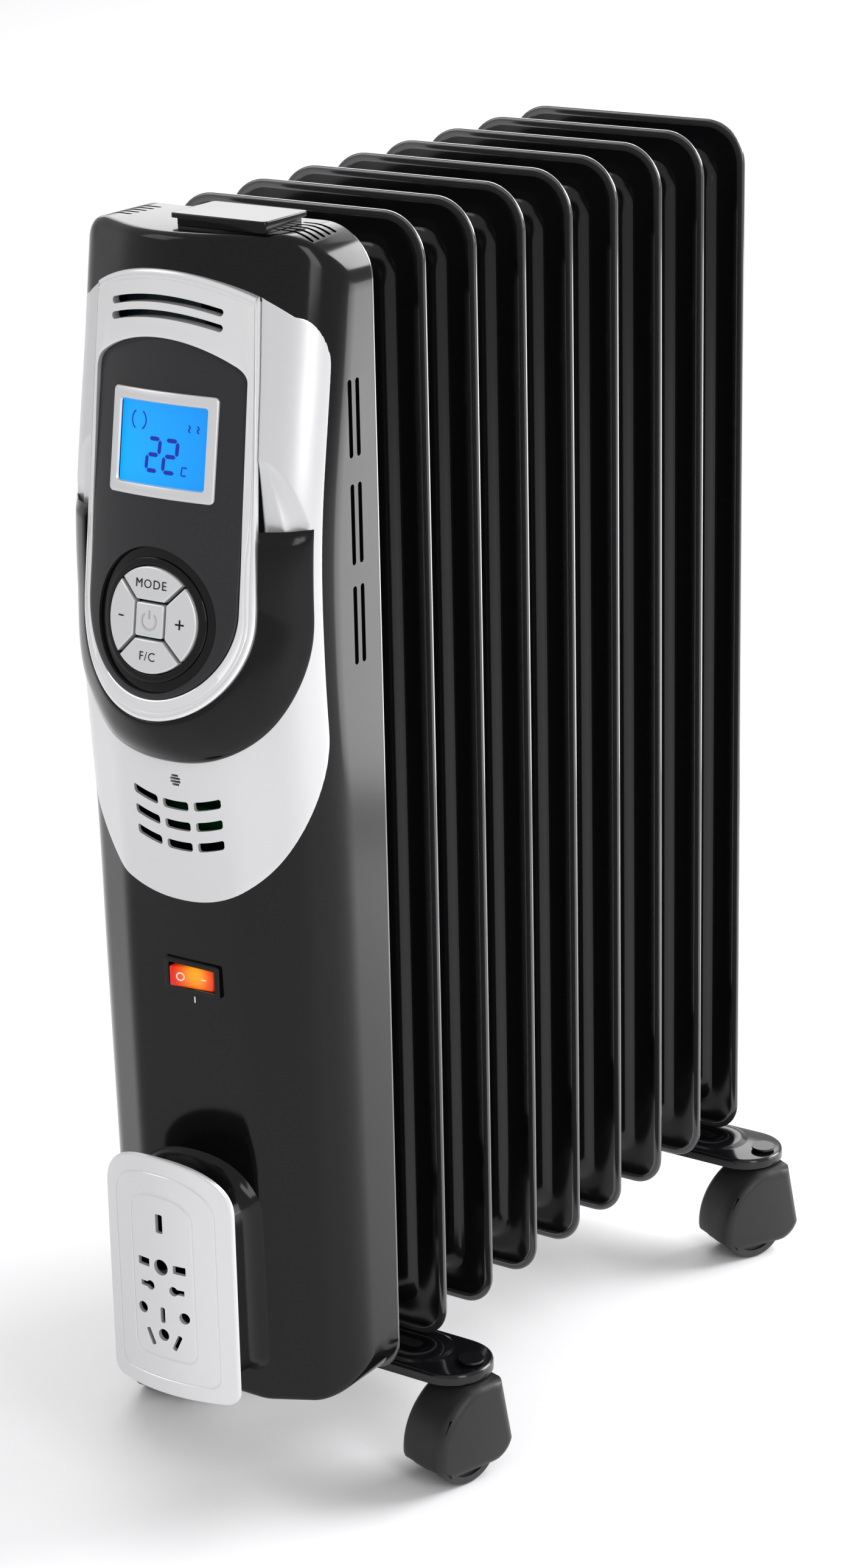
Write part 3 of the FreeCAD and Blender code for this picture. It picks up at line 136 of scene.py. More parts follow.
def principled(name, colour, roughness, metallic=0.0, coat=0.0, bump=None, speckle=None, emission=None,
               specular=0.5):
    """Make a procedural finish and keep it in FINISH.

    bump is (noise scale, strength), speckle is (noise scale, how far the roughness varies) and
    emission is the light's colour.
    """
    material = bpy.data.materials.new(name)
    material.use_nodes = True
    tree = material.node_tree
    shader = tree.nodes["Principled BSDF"]
    values = {"Base Color": (*colour, 1), "Roughness": roughness, "Metallic": metallic, "Coat Weight": coat,
              "Coat Roughness": COAT_ROUGHNESS, "Specular IOR Level": specular}
    for socket, value in values.items():
        shader.inputs[socket].default_value = value
    if bump:
        node = add_node(tree, "ShaderNodeBump", Strength=bump[1], Distance=BUMP_HEIGHT)
        tree.links.new(place_noise(tree, bump[0], Detail=3), node.inputs["Height"])
        tree.links.new(node.outputs["Normal"], shader.inputs["Normal"])
    if speckle:
        ramp = add_node(tree, "ShaderNodeMapRange", To_Min=roughness * (1 - speckle[1]),
                        To_Max=roughness * (1 + speckle[1]))
        tree.links.new(place_noise(tree, speckle[0]), ramp.inputs["Value"])
        tree.links.new(ramp.outputs["Result"], shader.inputs["Roughness"])
    if emission:
        shader.inputs["Emission Color"].default_value = (*emission, 1)
        shader.inputs["Emission Strength"].default_value = 1.0
    FINISH[name] = material
    return material


def screen_material():
    """Blue backlight, brightest at the lower left where its lamp sits."""
    lamp, reach, near, far = (-0.028, -0.2, 0.537), 0.055, 1.25, 0.85
    material = principled("screen_blue", (0.0, 0.03, 0.12), 0.5, emission=(0.0, 0.34, 1.0), specular=0.1)
    tree = material.node_tree
    ramp = add_node(tree, "ShaderNodeMapRange", From_Min=0.0, From_Max=reach, To_Min=near, To_Max=far)
    tree.links.new(distance_from(tree, lamp), ramp.inputs["Value"])
    tree.links.new(ramp.outputs["Result"], tree.nodes["Principled BSDF"].inputs["Emission Strength"])


def rocker_material():
    """Red plastic with a small lamp glowing behind its middle."""
    lamp, amber, red = (0.0068, -0.1985, 0.2855), (1.0, 0.42, 0.01, 1), (0.42, 0.008, 0.002, 1)
    tree = principled("rocker_red", (0.35, 0.008, 0.003), 0.2, emission=red[:3], specular=0.3).node_tree
    ramp = tree.nodes.new("ShaderNodeValToRGB")
    for stop, distance, colour in zip(ramp.color_ramp.elements, (0.0022, 0.0095), (amber, red)):
        stop.position = distance
        stop.color = colour
    tree.links.new(distance_from(tree, lamp), ramp.inputs["Fac"])
    tree.links.new(ramp.outputs["Color"], tree.nodes["Principled BSDF"].inputs["Emission Color"])


def window_material():
    """Clear plastic: mostly see-through with a faint reflection."""
    material = bpy.data.materials.new("screen_window")
    material.use_nodes = True
    tree = material.node_tree
    tree.nodes.remove(tree.nodes["Principled BSDF"])
    mix = add_node(tree, "ShaderNodeMixShader", Fac=0.015)
    clear = tree.nodes.new("ShaderNodeBsdfTransparent")
    gloss = add_node(tree, "ShaderNodeBsdfGlossy", Roughness=0.05)
    tree.links.new(clear.outputs["BSDF"], mix.inputs[1])
    tree.links.new(gloss.outputs["BSDF"], mix.inputs[2])
    tree.links.new(mix.outputs["Shader"], tree.nodes["Material Output"].inputs["Surface"])
    FINISH["screen_window"] = material


principled("black_enamel", (0.004, 0.004, 0.0045), 0.15, bump=(30, 0.05), specular=0.35)
principled("black_bracket", (0.004, 0.004, 0.005), 0.14, bump=(60, 0.03), specular=0.4)
principled("pin_black", (0.005, 0.005, 0.006), 0.25)
# The fins' black enamel made lighter and metallic for their rolled rims: a painted highlight along the hems.
principled("hem_painted_highlight", (0.06, 0.06, 0.063), 0.14, metallic=0.6, coat=1.0)
principled("zinc", (0.58, 0.59, 0.61), 0.32, metallic=1.0, speckle=(150, 0.3))
principled("element_steel", (0.40, 0.39, 0.37), 0.4, metallic=1.0, speckle=(90, 0.3))
principled("plate_steel", (0.55, 0.56, 0.57), 0.4, metallic=1.0, speckle=(60, 0.4))
principled("housing_black", (0.003, 0.003, 0.0033), 0.13, speckle=(25, 0.15), specular=0.24)
principled("silver", (0.63, 0.63, 0.64), 0.32, metallic=0.5, bump=(900, 0.02))
# A lighter, glossier copy of the silver for the raised frame; its extra lightness is painted highlight.
principled("frame_silver_painted_highlight", (0.76, 0.76, 0.77), 0.22, metallic=0.6)
principled("panel_grey", (0.018, 0.018, 0.020), 0.34, bump=(700, 0.03), specular=0.3)
principled("ink", (0.008, 0.008, 0.009), 0.6, specular=0.1)
principled("ink_pale", (0.75, 0.75, 0.75), 0.5)
principled("segment", (0.0, 0.01, 0.08), 0.5, emission=(0.0, 0.014, 0.294), specular=0.1)
principled("board_green", (0.01, 0.16, 0.06), 0.35, speckle=(300, 0.3))
principled("switch_case", (0.65, 0.64, 0.60), 0.45, bump=(300, 0.1))
principled("hood_grey", (0.016, 0.016, 0.017), 0.42, bump=(500, 0.10), specular=0.3)
principled("wheel_black", (0.014, 0.014, 0.015), 0.42, bump=(400, 0.08))
screen_material()
rocker_material()
window_material()
SLOT_OF = {part["node"]: part["material_slot"] for part in frame["record"]["subparts"]}


# ---------------------------------------------------------------- mesh helpers
def finish_mesh(mesh, sharp):
    """Clean a mesh, turn its faces outwards and shade it smooth up to the sharp angle in degrees."""
    cleaned = bmesh.new()
    cleaned.from_mesh(mesh)
    bmesh.ops.remove_doubles(cleaned, verts=cleaned.verts, dist=1e-6)
    bmesh.ops.dissolve_degenerate(cleaned, edges=cleaned.edges, dist=1e-7)
    bmesh.ops.recalc_face_normals(cleaned, faces=cleaned.faces)
    cleaned.to_mesh(mesh)
    cleaned.free()
    mesh.polygons.foreach_set("use_smooth", [True] * len(mesh.polygons))
    mesh.set_sharp_from_angle(angle=math.radians(sharp))
    mesh.update()


def to_object(name, points, faces, sharp=32):
    """A new piece from points in millimetres."""
    mesh = bpy.data.meshes.new(name)
    mesh.from_pydata([tuple(float(value) * MM for value in point) for point in points], [], faces)
    finish_mesh(mesh, sharp)
    obj = bpy.data.objects.new(name, mesh)
    scene.collection.objects.link(obj)
    return obj


def dress(obj, slot, body="heater", nodes=(), finish=None):
    """Give a piece its finish, the slot's own unless another is named, attach it to the body it moves with
    and hide the CAD nodes it stands for.
    """
    obj.data.materials.clear()
    obj.data.materials.append(FINISH[finish or slot])
    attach(obj, body)
    if nodes:
        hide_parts(*nodes)


def carve(obj, cutters, sharp=32, overlapping=False):
    """Cut several solids out of a closed piece; overlapping says that some of them meet."""
    bpy.context.view_layer.update()
    merged = bmesh.new()
    for cutter in cutters:
        merged.from_mesh(cutter.data)
    tool_mesh = bpy.data.meshes.new("tool")
    merged.to_mesh(tool_mesh)
    merged.free()
    tool = bpy.data.objects.new("tool", tool_mesh)
    scene.collection.objects.link(tool)
    step = obj.modifiers.new("cut", "BOOLEAN")
    step.operation = "DIFFERENCE"
    step.solver = "EXACT"
    step.use_self = overlapping
    step.object = tool
    graph = bpy.context.evaluated_depsgraph_get()
    result = bpy.data.meshes.new_from_object(obj.evaluated_get(graph))
    obj.modifiers.clear()
    obj.data = result
    for cutter in list(cutters) + [tool]:
        bpy.data.objects.remove(cutter)
    finish_mesh(result, sharp)
    return obj


def rings_object(name, rings, wrap=False, sharp=32):
    """Join closed rings of equally many points; wrap joins last to first, else both ends are capped."""
    count = len(rings[0])
    points = [point for ring in rings for point in ring]
    faces = []
    for index in range(len(rings) if wrap else len(rings) - 1):
        a, b = index * count, (index + 1) % len(rings) * count
        for step in range(count):
            after = (step + 1) % count
            faces.append((a + step, a + after, b + after, b + step))
    if not wrap:
        last = (len(rings) - 1) * count
        faces += [tuple(range(count))[::-1], tuple(range(last, last + count))]
    return to_object(name, points, faces, sharp)


def slab_object(name, front, back, sharp=32):
    """A closed plate between two grids of points of the same shape."""
    front, back = np.asarray(front, float), np.asarray(back, float)
    rows, columns = front.shape[:2]
    points = np.concatenate([front.reshape(-1, 3), back.reshape(-1, 3)])
    shift = rows * columns

    def at(row, column, layer=0):
        return layer * shift + row * columns + column
    faces = []
    for row in range(rows - 1):
        for column in range(columns - 1):
            faces.append((at(row, column), at(row, column + 1), at(row + 1, column + 1), at(row + 1, column)))
            faces.append((at(row, column, 1), at(row + 1, column, 1), at(row + 1, column + 1, 1),
                          at(row, column + 1, 1)))
    edge = [(0, column) for column in range(columns)]
    edge += [(row, columns - 1) for row in range(1, rows)]
    edge += [(rows - 1, column) for column in range(columns - 2, -1, -1)]
    edge += [(row, 0) for row in range(rows - 2, 0, -1)]
    for number, spot in enumerate(edge):
        after = edge[(number + 1) % len(edge)]
        faces.append((at(*spot), at(*spot, 1), at(*after, 1), at(*after)))
    return to_object(name, points, faces, sharp)


def prism_object(outline, near, far, place):
    """A straight solid on a closed outline; place turns (u, v, height) into a point."""
    return rings_object("cutter", [[place(u, v, height) for u, v in outline] for height in (near, far)])


def inset(outline, distance):
    """A closed outline moved inwards along its corners' mean normals."""
    points = np.asarray(outline, float)
    along = np.roll(points, -1, 0) - points
    along /= np.maximum(np.linalg.norm(along, axis=1), 1e-9)[:, None]
    area = np.sum(points[:, 0] * np.roll(points[:, 1], -1) - np.roll(points[:, 0], -1) * points[:, 1])
    normal = np.stack([-along[:, 1], along[:, 0]], 1) * np.sign(area)
    mean = normal + np.roll(normal, 1, 0)
    mean /= np.maximum(np.linalg.norm(mean, axis=1), 1e-9)[:, None]
    stretch = 1 / np.maximum(np.sum(mean * normal, axis=1), 0.5)
    return points + mean * (distance * stretch)[:, None]


def rounded_rect(half_u, half_v, radius, centre=(0.0, 0.0), steps=6, sides=1):
    """Closed outline; sides adds points along the straight runs."""
    outline = []
    corners = [(half_u - radius, half_v - radius, 0), (-half_u + radius, half_v - radius, 90),
               (-half_u + radius, -half_v + radius, 180), (half_u - radius, -half_v + radius, 270)]
    for index, (u, v, start) in enumerate(corners):
        for step in range(steps + 1):
            angle = math.radians(start + 90 * step / steps)
            outline.append((u + radius * math.cos(angle), v + radius * math.sin(angle)))
        if sides > 1:
            ahead_u, ahead_v, ahead = corners[(index + 1) % 4]
            angle = math.radians(ahead)
            end = (ahead_u + radius * math.cos(angle), ahead_v + radius * math.sin(angle))
            outline += line_points(outline[-1], end, sides)[:-1]
    return [(u + centre[0], v + centre[1]) for u, v in outline]


def button_rings(outline, low, high, bevel, place):
    """Rings of a plate with a rounded upper edge."""
    rings = [[place(u, v, low) for u, v in outline]]
    for angle in (0, 30, 60, 90):
        turn = math.radians(angle)
        ring = inset(outline, bevel * (1 - math.cos(turn)))
        rings.append([place(u, v, high - bevel * (1 - math.sin(turn))) for u, v in ring])
    rings.append([place(u, v, high) for u, v in inset(outline, bevel + 0.35)])
    return rings


# ---------------------------------------------------------------- the housing's own surfaces
# y of the first fin, from which depths are counted forwards; then half the width, the radius of the
# front's corners, half the width of its middle, and the turn of the facets beside the middle. LOW and HIGH
# are the housing's ends, with the radii of their corners seen from the front and of their edges.
FIRST_FIN = -129.75
HALF, CORNER, MIDDLE = 73.0, 34.0, 34.0
FACET = math.radians(28)
ARC_X = HALF - CORNER
LOW, HIGH = 62.0, 642.0
LOW_RADIUS, HIGH_RADIUS = 19, 25
LOW_EDGE, HIGH_EDGE = 3.0, 4.0
SHELL_WALL, REAR_RIM = 2.6, 1.4
ROCKER_X, ROCKER_Z, ROCKER_AXIS_Y = 4.5, 284, -194.135
# Heights at which the front's depth is set, the depth of the corner arcs' axis and the middle's bulge.
STATION_Z = np.array([45, 62, 120, 230, 285, 331, 360, 400, 440, 490, 520, 550, 581, 615, 643, 660.0])
STATION_ARC = np.array([20, 20.7, 22, 24.4, 25.4, 26, 26.8, 29.3, 31.5, 31.5, 28.8, 24, 18.6, 13.6, 9.4, 7.0])
STATION_BULGE = np.array([.2, .2, .2, .3, .5, 1.5, 3, 5, 6, 6, 6, 6, 6.5, 7.5, 9, 10.0])


def at(x, depth, z):
    """A point at a depth in front of the first fin."""
    return (x, FIRST_FIN - depth, z)


def smooth_curve(z, knots, values):
    """Hermite interpolation with averaged slopes, so that reflections run on without a step."""
    slopes = np.diff(values) / np.diff(knots)
    tangents = np.concatenate([[slopes[0]], (slopes[1:] + slopes[:-1]) / 2, [slopes[-1]]])
    index = int(np.clip(np.searchsorted(knots, z) - 1, 0, len(knots) - 2))
    span = knots[index + 1] - knots[index]
    t = (z - knots[index]) / span
    return ((2 * t ** 3 - 3 * t ** 2 + 1) * values[index] + (t ** 3 - 2 * t ** 2 + t) * span * tangents[index]
            + (3 * t ** 2 - 2 * t ** 3) * values[index + 1] + (t ** 3 - t ** 2) * span * tangents[index + 1])


def front_depth(x, z, soft=1.6):
    """Depth of the housing's front; soft rounds the crease between the middle and the side facets."""
    arc_depth = smooth_curve(z, STATION_Z, STATION_ARC)
    bulge = smooth_curve(z, STATION_Z, STATION_BULGE)
    x = min(abs(x), HALF)
    facet_x = ARC_X + CORNER * math.sin(FACET)
    if x >= facet_x:
        return arc_depth + math.sqrt(max(CORNER ** 2 - (x - ARC_X) ** 2, 0))
    facet = arc_depth + CORNER * math.cos(FACET) + (facet_x - x) * math.tan(FACET)
    crease = arc_depth + CORNER * math.cos(FACET) + (facet_x - MIDDLE) * math.tan(FACET)
    if x <= MIDDLE:
        centre = crease + bulge * (1 - (x / MIDDLE) ** 2)
    else:
        centre = crease + max(-2 * bulge / MIDDLE, -0.5) * (x - MIDDLE)
    blend = max(soft - abs(centre - facet), 0) / soft
    return min(centre, facet) - blend ** 2 * soft / 4


# The frame's, the panel's and the plate's faces: depth in the middle, bend radius, and for the sloped ones
# the slope and 1 / its cosine. The depths of the sloped ones are given at the height TILT_Z.
TILT_Z = 581
FRAME_DEPTH, FRAME_BEND, FRAME_TURN, FRAME_STRETCH = 68.3, 95, math.radians(7.4), 1.008
PANEL_DEPTH, PANEL_BEND, PANEL_TURN, PANEL_STRETCH = 64, 110, math.radians(9.1), 1.013
PLATE_DEPTH, PLATE_BEND = 97, 92


def fall_back(x, bend):
    """How far a face bent round a vertical axis lies behind its middle."""
    return bend - math.sqrt(bend ** 2 - x * x)


def surround_face(x, z):
    """Depth of the frame's face, which slopes back upwards."""
    return FRAME_DEPTH + math.tan(FRAME_TURN) * (TILT_Z - z) - fall_back(x, FRAME_BEND) * FRAME_STRETCH


def panel_face(x, z, lift=0.0):
    """Depth of the panel's face, or of a surface lifted off it."""
    return PANEL_DEPTH + math.tan(PANEL_TURN) * (TILT_Z - z) - fall_back(x, PANEL_BEND) * PANEL_STRETCH + lift


def plate_face(x):
    """Depth of the plug rest's face."""
    return PLATE_DEPTH - fall_back(x, PLATE_BEND)


def arc_points(half, radius, top, steps):
    """Right half of an arch, from its crown outwards."""
    reach = math.asin(half / radius)
    return [(radius * math.sin(reach * step / steps), top - radius + radius * math.cos(reach * step / steps))
            for step in range(steps + 1)]


def line_points(start, end, steps):
    """Points on a straight line, from the one after start to end."""
    return [(start[0] + (end[0] - start[0]) * step / steps, start[1] + (end[1] - start[1]) * step / steps)
            for step in range(1, steps + 1)]


def round_end(half, waist, drop, power, steps):
    """Right half of a superellipse from its widest point down to its lowest."""
    points = []
    for step in range(1, steps + 1):
        angle = math.pi / 2 * step / steps
        points.append((half * max(math.cos(angle), 0) ** (2 / power),
                       waist - drop * math.sin(angle) ** (2 / power)))
    points[-1] = (0.0, waist - drop)
    return points


# Crown and radius of the frame's arch, and the height down to which its and the panel's sides lean.
FRAME_TOP, FRAME_ARCH, SIDE_LOW = 625.5, 100, 490


def surround_half(grow=0.0):
    """Right half of the frame's outline: arch, straight side and round end."""
    half, waist = 49.6 + grow, 468
    path = arc_points(45 + grow, FRAME_ARCH, FRAME_TOP + grow, 24)
    path += line_points(path[-1], (half, SIDE_LOW), 26)
    path += line_points((half, SIDE_LOW), (half, waist), 6)
    return path + round_end(half, waist, half, 2.0, 48)


def panel_half(grow=0.0):
    """Right half of the panel's outline, with a soft corner under its arch."""
    half, soft, arch, top, waist = 43 + grow, 4.5, 72, 594.5 + grow, 472
    path = arc_points(half - soft, arch, top, 18)
    start, corner = path[-1], arc_points(half, arch, top, 1)[-1]
    for t in np.linspace(0, 1, 7)[1:]:
        path.append((start[0] * (1 - t) ** 2 + half * (1 - (1 - t) ** 2),
                     start[1] * (1 - t) ** 2 + corner[1] * 2 * t * (1 - t) + (corner[1] - soft) * t * t))
    path += line_points(path[-1], (half, SIDE_LOW), 26)
    path += line_points((half, SIDE_LOW), (half, waist), 6)
    return path + round_end(half, waist, half, 2.0, 48)


def full_loop(half_path):
    """A closed outline from its right half, which runs from the crown to the lowest point."""
    mirrored = [(-x, z) for x, z in reversed(half_path[1:-1])]
    return list(half_path) + mirrored


def resample(path, count):
    """Points at equal distances along an open path."""
    path = np.asarray(path, float)
    lengths = np.concatenate([[0], np.cumsum(np.linalg.norm(np.diff(path, axis=0), axis=1))])
    wanted = np.linspace(0, lengths[-1], count)
    return np.stack([np.interp(wanted, lengths, path[:, axis]) for axis in (0, 1)], 1)


def bezel_half(grow=0.0, start=0.0):
    """Right half of the bezel's outer edge, from start along its arch down to its tip."""
    half, shoulder, shoulder_drop, waist = 71 + grow, 11, 25.5, 412
    shoulder_x = half - shoulder
    arch = arc_points(shoulder_x, FRAME_ARCH + grow, FRAME_TOP + grow, 40)
    path = [(x, z) for x, z in arch if x >= start]
    shoulder_z = path[-1][1]
    for step in range(1, 13):
        angle = math.pi / 2 * step / 12
        path.append((shoulder_x + shoulder * math.sin(angle) ** 0.9,
                     shoulder_z - shoulder_drop * (1 - math.cos(angle))))
    path += line_points(path[-1], (half, waist), 40)
    return path + round_end(half, waist, 89.5 + grow, 2.2, 60)


def straight_out(x, z, depth):
    """Place for outlines in the front view: height is the depth."""
    return at(x, depth, z)


def front_cutter(outline, near=40, far=110):
    """A cutter that goes straight into the front between two depths."""
    return prism_object(outline, near, far, straight_out)


def capsule(half, z, width, x=0.0, sag=0.0, steps=10):
    """Outline of a slot along a flat arc; a positive sag lifts its middle."""
    radius = width / 2
    upper = [(x - half + 2 * half * step / steps, z + sag * (1 - (2 * step / steps - 1) ** 2))
             for step in range(steps + 1)]
    outline = [(u, v + radius) for u, v in upper]
    outline += [(x + half + radius * math.sin(a), z + radius * math.cos(a))
                for a in np.linspace(0.4, 2.74, 6)]
    outline += [(u, v - radius) for u, v in reversed(upper)]
    outline += [(x - half - radius * math.sin(a), z - radius * math.cos(a))
                for a in np.linspace(0.4, 2.74, 6)]
    return outline


def circle(x, z, radius, steps=24):
    """Closed outline round x, z."""
    return [(x + radius * math.cos(2 * math.pi * s / steps), z + radius * math.sin(2 * math.pi * s / steps))
            for s in range(steps)]


# ---------------------------------------------------------------- housing
def shell_grid(shrink):
    """Rows of points from the left rim over the front to the right rim."""
    low, high, side, radius = LOW + shrink, HIGH - shrink, HALF - shrink, CORNER - shrink
    low_r, high_r = LOW_RADIUS - shrink, HIGH_RADIUS - shrink
    heights = list(low + low_r * (1 - np.cos(np.linspace(0, np.pi / 2, 12))))
    heights += list(np.linspace(low + low_r, high - high_r, 130))[1:-1]
    heights += list(high - high_r * (1 - np.cos(np.linspace(np.pi / 2, 0, 16))))
    rows = []
    for z in heights:
        past, corner, rounding = 0.0, 0.0, 0.0
        if z < low + low_r:
            past, corner = low + low_r - z, low_r
            rounding = LOW_EDGE * min(1, past / (4 * LOW_EDGE))
        elif z > high - high_r:
            past, corner = z - high + high_r, high_r
            rounding = HIGH_EDGE * min(1, past / (3.5 * HIGH_EDGE))
        width = side - corner + math.sqrt(max(corner ** 2 - past ** 2, 0))
        turn = math.asin(min((width - ARC_X) / radius, 1))
        right = [ARC_X * step / 16 for step in range(17)]
        right += [ARC_X + radius * math.sin(turn * step / 28) for step in range(1, 29)]
        row = []
        for x in [-x for x in reversed(right[1:])] + right:
            depth = front_depth(x * (HALF / side if abs(x) > ARC_X else 1), z) - shrink
            edge = corner - (past if abs(x) <= side - corner else math.hypot(abs(x) - side + corner, past))
            if rounding > 0 and edge < rounding:
                depth -= rounding - math.sqrt(max(rounding ** 2 - (rounding - max(edge, 0)) ** 2, 0))
            row.append((x, depth, z))
        rows.append([(row[0][0], REAR_RIM, z)] + row + [(row[-1][0], REAR_RIM, z)])
    first, last = ([(x, REAR_RIM, z) for x, depth, z in row] for row in (rows[0], rows[-1]))
    rows = [first] + rows + [last]
    return [[at(*spot) for spot in row] for row in rows]


def make_shell():
    """The housing with its side and top vents and its openings for the rocker and the bezel."""
    shell = slab_object("housing", shell_grid(0.0), shell_grid(SHELL_WALL), sharp=40)
    cutters = [front_cutter(rounded_rect(15.2, 6.9, 0.6, (ROCKER_X, ROCKER_Z)), 50, 90),
               front_cutter(full_loop(bezel_half(-1.5)), 30, 120)]
    for side in (-1, 1):
        for low, high in ((537.7, 574.4), (487, 525.5), (439, 477)):
            for depth in (15.0, 21.0):
                def side_vent(u, v, height):
                    return at(side * height, depth + v, (low + high) / 2 + u)
                cutters.append(prism_object(capsule((high - low) / 2 - 1.5, 0, 3.0), 66, 80, side_vent))
        for number in range(5):
            def top_vent(u, v, height):
                return at(1 + side * (50 + 0.4 * number) + u, 10.1 + 5.0 * number + v, height)
            cutters.append(prism_object(capsule(8, 0, 2.2), 630, 650, top_vent))
    dress(carve(shell, cutters, 40), "housing_black", nodes=["housing_shell"])


def towards(start, end, distance):
    """The point at a distance from start on the way to end."""
    share = distance / math.hypot(end[0] - start[0], end[1] - start[1])
    return (start[0] + (end[0] - start[0]) * share, start[1] + (end[1] - start[1]) * share)


def grille_cutters():
    """Nine bowed slots in three rows, under a small round grille of four bars."""
    middle_x, pitch_x, pitch_z, half_u, half_v, cut = 2.3, 18, 10.5, 7.4, 2.3, 0.9
    cutters = []
    for row in range(3):
        for column in (-1, 0, 1):
            x = middle_x + pitch_x * column
            line = [(u, 372.4 - pitch_z * row + 5.2 * ((u - middle_x) / 27) ** 2)
                    for u in np.linspace(x - half_u, x + half_u, 9)]
            outline = [(u, v + half_v) for u, v in line] + [(u, v - half_v) for u, v in reversed(line)]
            softened = []
            for index, point in enumerate(outline):
                sides = (outline[index - 1], outline[(index + 1) % len(outline)])
                is_corner = index % len(line) in (0, len(line) - 1)
                softened += [towards(point, other, cut) for other in sides] if is_corner else [point]
            cutters.append(front_cutter(softened))
    for rise, half in ((-2.3, 2.0), (-0.8, 2.9), (0.8, 2.9), (2.3, 2.0)):
        slit = rounded_rect(half, 0.6, 0.3, (4, 385.7 + rise), 2)
        cutters.append(front_cutter(slit))
    return cutters


def scoop(x, z):
    """How far the bezel dips beside the frame, above each end of the grip."""
    top, drop, floor, inner, edge, deepest = 541.5, 32, 470, 49.4, 67.6, 5.6
    if z >= top or z < floor:
        return 0.0
    fall = min((top - z) / drop, 1.25)
    outer = min(inner + 19.3 * math.sqrt(fall), edge)
    x = abs(x)
    if x >= outer:
        return 0.0
    depth = deepest * min(fall, 1.0) ** 0.8
    ridge = min(inner + 8.8 * fall ** 0.8, outer - 1)
    if x >= ridge:
        share = (x - ridge) / (outer - ridge)
        return depth * (1 - share) * (0.5 + 1.9 * share)
    return depth * (0.5 + 0.5 * ((ridge - x) / max(ridge - 49.0, 1)) ** 0.7)


def make_bezel():
    """Two silver wings that join under the panel, as one curved sheet with rolled edges."""
    count, start_x, thick = 220, 45.2, 1.75
    arch_foot = FRAME_TOP - FRAME_ARCH + math.sqrt(FRAME_ARCH ** 2 - start_x ** 2)
    outer = resample(bezel_half(0, start_x), count)
    inner = resample([(start_x, arch_foot)] + surround_half(0.2)[25:], count)
    outer = np.concatenate([outer, outer[-2::-1] * (-1, 1)])
    inner = np.concatenate([inner, inner[-2::-1] * (-1, 1)])
    rolled = [(0.0, -1.2), (0.12, -0.45), (0.4, -0.05), (0.9, 0.12)]
    front, back = [], []
    for start, end in zip(inner, outer):
        width = max(float(np.linalg.norm(end - start)), 0.02)
        scale = min(1.0, width / 2.4)
        stops = [(distance * scale / width, lift) for distance, lift in rolled]
        stops += [(share, 0.12) for share in np.linspace(stops[-1][0], 1 - stops[-1][0], 30)[1:-1]]
        stops += [(1 - share, lift) for share, lift in reversed(stops[:4])]
        row_front, row_back = [], []
        for share, lift in stops:
            x, z = start + (end - start) * share
            depth = front_depth(x, z) - scoop(x, z)
            row_front.append(at(x, depth + lift, z))
            row_back.append(at(x, depth - thick, z))
        front.append(row_front)
        back.append(row_back)
    bezel = slab_object("bezel", front, back, sharp=50)
    dress(carve(bezel, grille_cutters(), 50), "silver", nodes=["bezel_panel"])


def make_surround():
    """The raised silver frame: a closed band between its outline and the panel's, with two grooves."""
    outer, inner = full_loop(surround_half()), full_loop(panel_half(0.15))
    profile_out = [(0, None), (0, -1.6), (0.15, -0.75), (0.55, -0.2), (1.2, 0), (2.0, 0), (2.3, -0.45),
                   (2.8, -0.45), (3.1, 0), (4.0, 0.0), (4.3, -0.3), (4.6, -0.3), (4.9, 0)]
    profile_in = [(1.0, 0), (0.45, -0.12), (0.12, -0.5), (0, -1.1), (0, "floor")]
    rings = [[] for _ in range(len(profile_out) + len(profile_in))]
    for (xo, zo), (xi, zi) in zip(outer, inner):
        width = math.hypot(xo - xi, zo - zi)
        scale = min(1.0, width / 6.2)
        stops = [(distance * scale / width, lift) for distance, lift in profile_out]
        stops += [(1 - distance * scale / width, lift) for distance, lift in profile_in]
        for number, (share, lift) in enumerate(stops):
            x, z = xo + (xi - xo) * share, zo + (zi - zo) * share
            face = surround_face(x, z)
            if lift is None:
                depth = min(front_depth(x, z) - 1.0, face - 2.2)
            elif lift == "floor":
                depth = min(panel_face(x, z) - 2.3, face - 2.2)
            else:
                depth = face + lift
            rings[number].append(at(x, depth, z))
    surround = rings_object("surround", rings, wrap=True, sharp=38)
    slots = [front_cutter(capsule(30, z, 3.5, sag=4.2, steps=24))
             for z in (608.2, 601.2)]
    # The frame takes the lighter silver copy, which paints in its highlight.
    dress(carve(surround, slots, 38), "silver", nodes=["panel_surround"], finish="frame_silver_painted_highlight")


# ---------------------------------------------------------------- panel, display and keys
def panel_place(height):
    """Place for local x, y along the panel and height out of it, bent like the panel itself."""
    centre = PANEL_DEPTH + math.tan(PANEL_TURN) * (TILT_Z - height)

    def place(u, v, lift):
        lift = lift - fall_back(u, PANEL_BEND)
        depth = centre - v * math.sin(PANEL_TURN) + lift * math.cos(PANEL_TURN)
        return at(u, depth, height + v * math.cos(PANEL_TURN) + lift * math.sin(PANEL_TURN))
    return place


DISPLAY_Z, KEYS_Z = 545.8, 465.5
DISPLAY, KEYS = panel_place(DISPLAY_Z), panel_place(KEYS_Z)


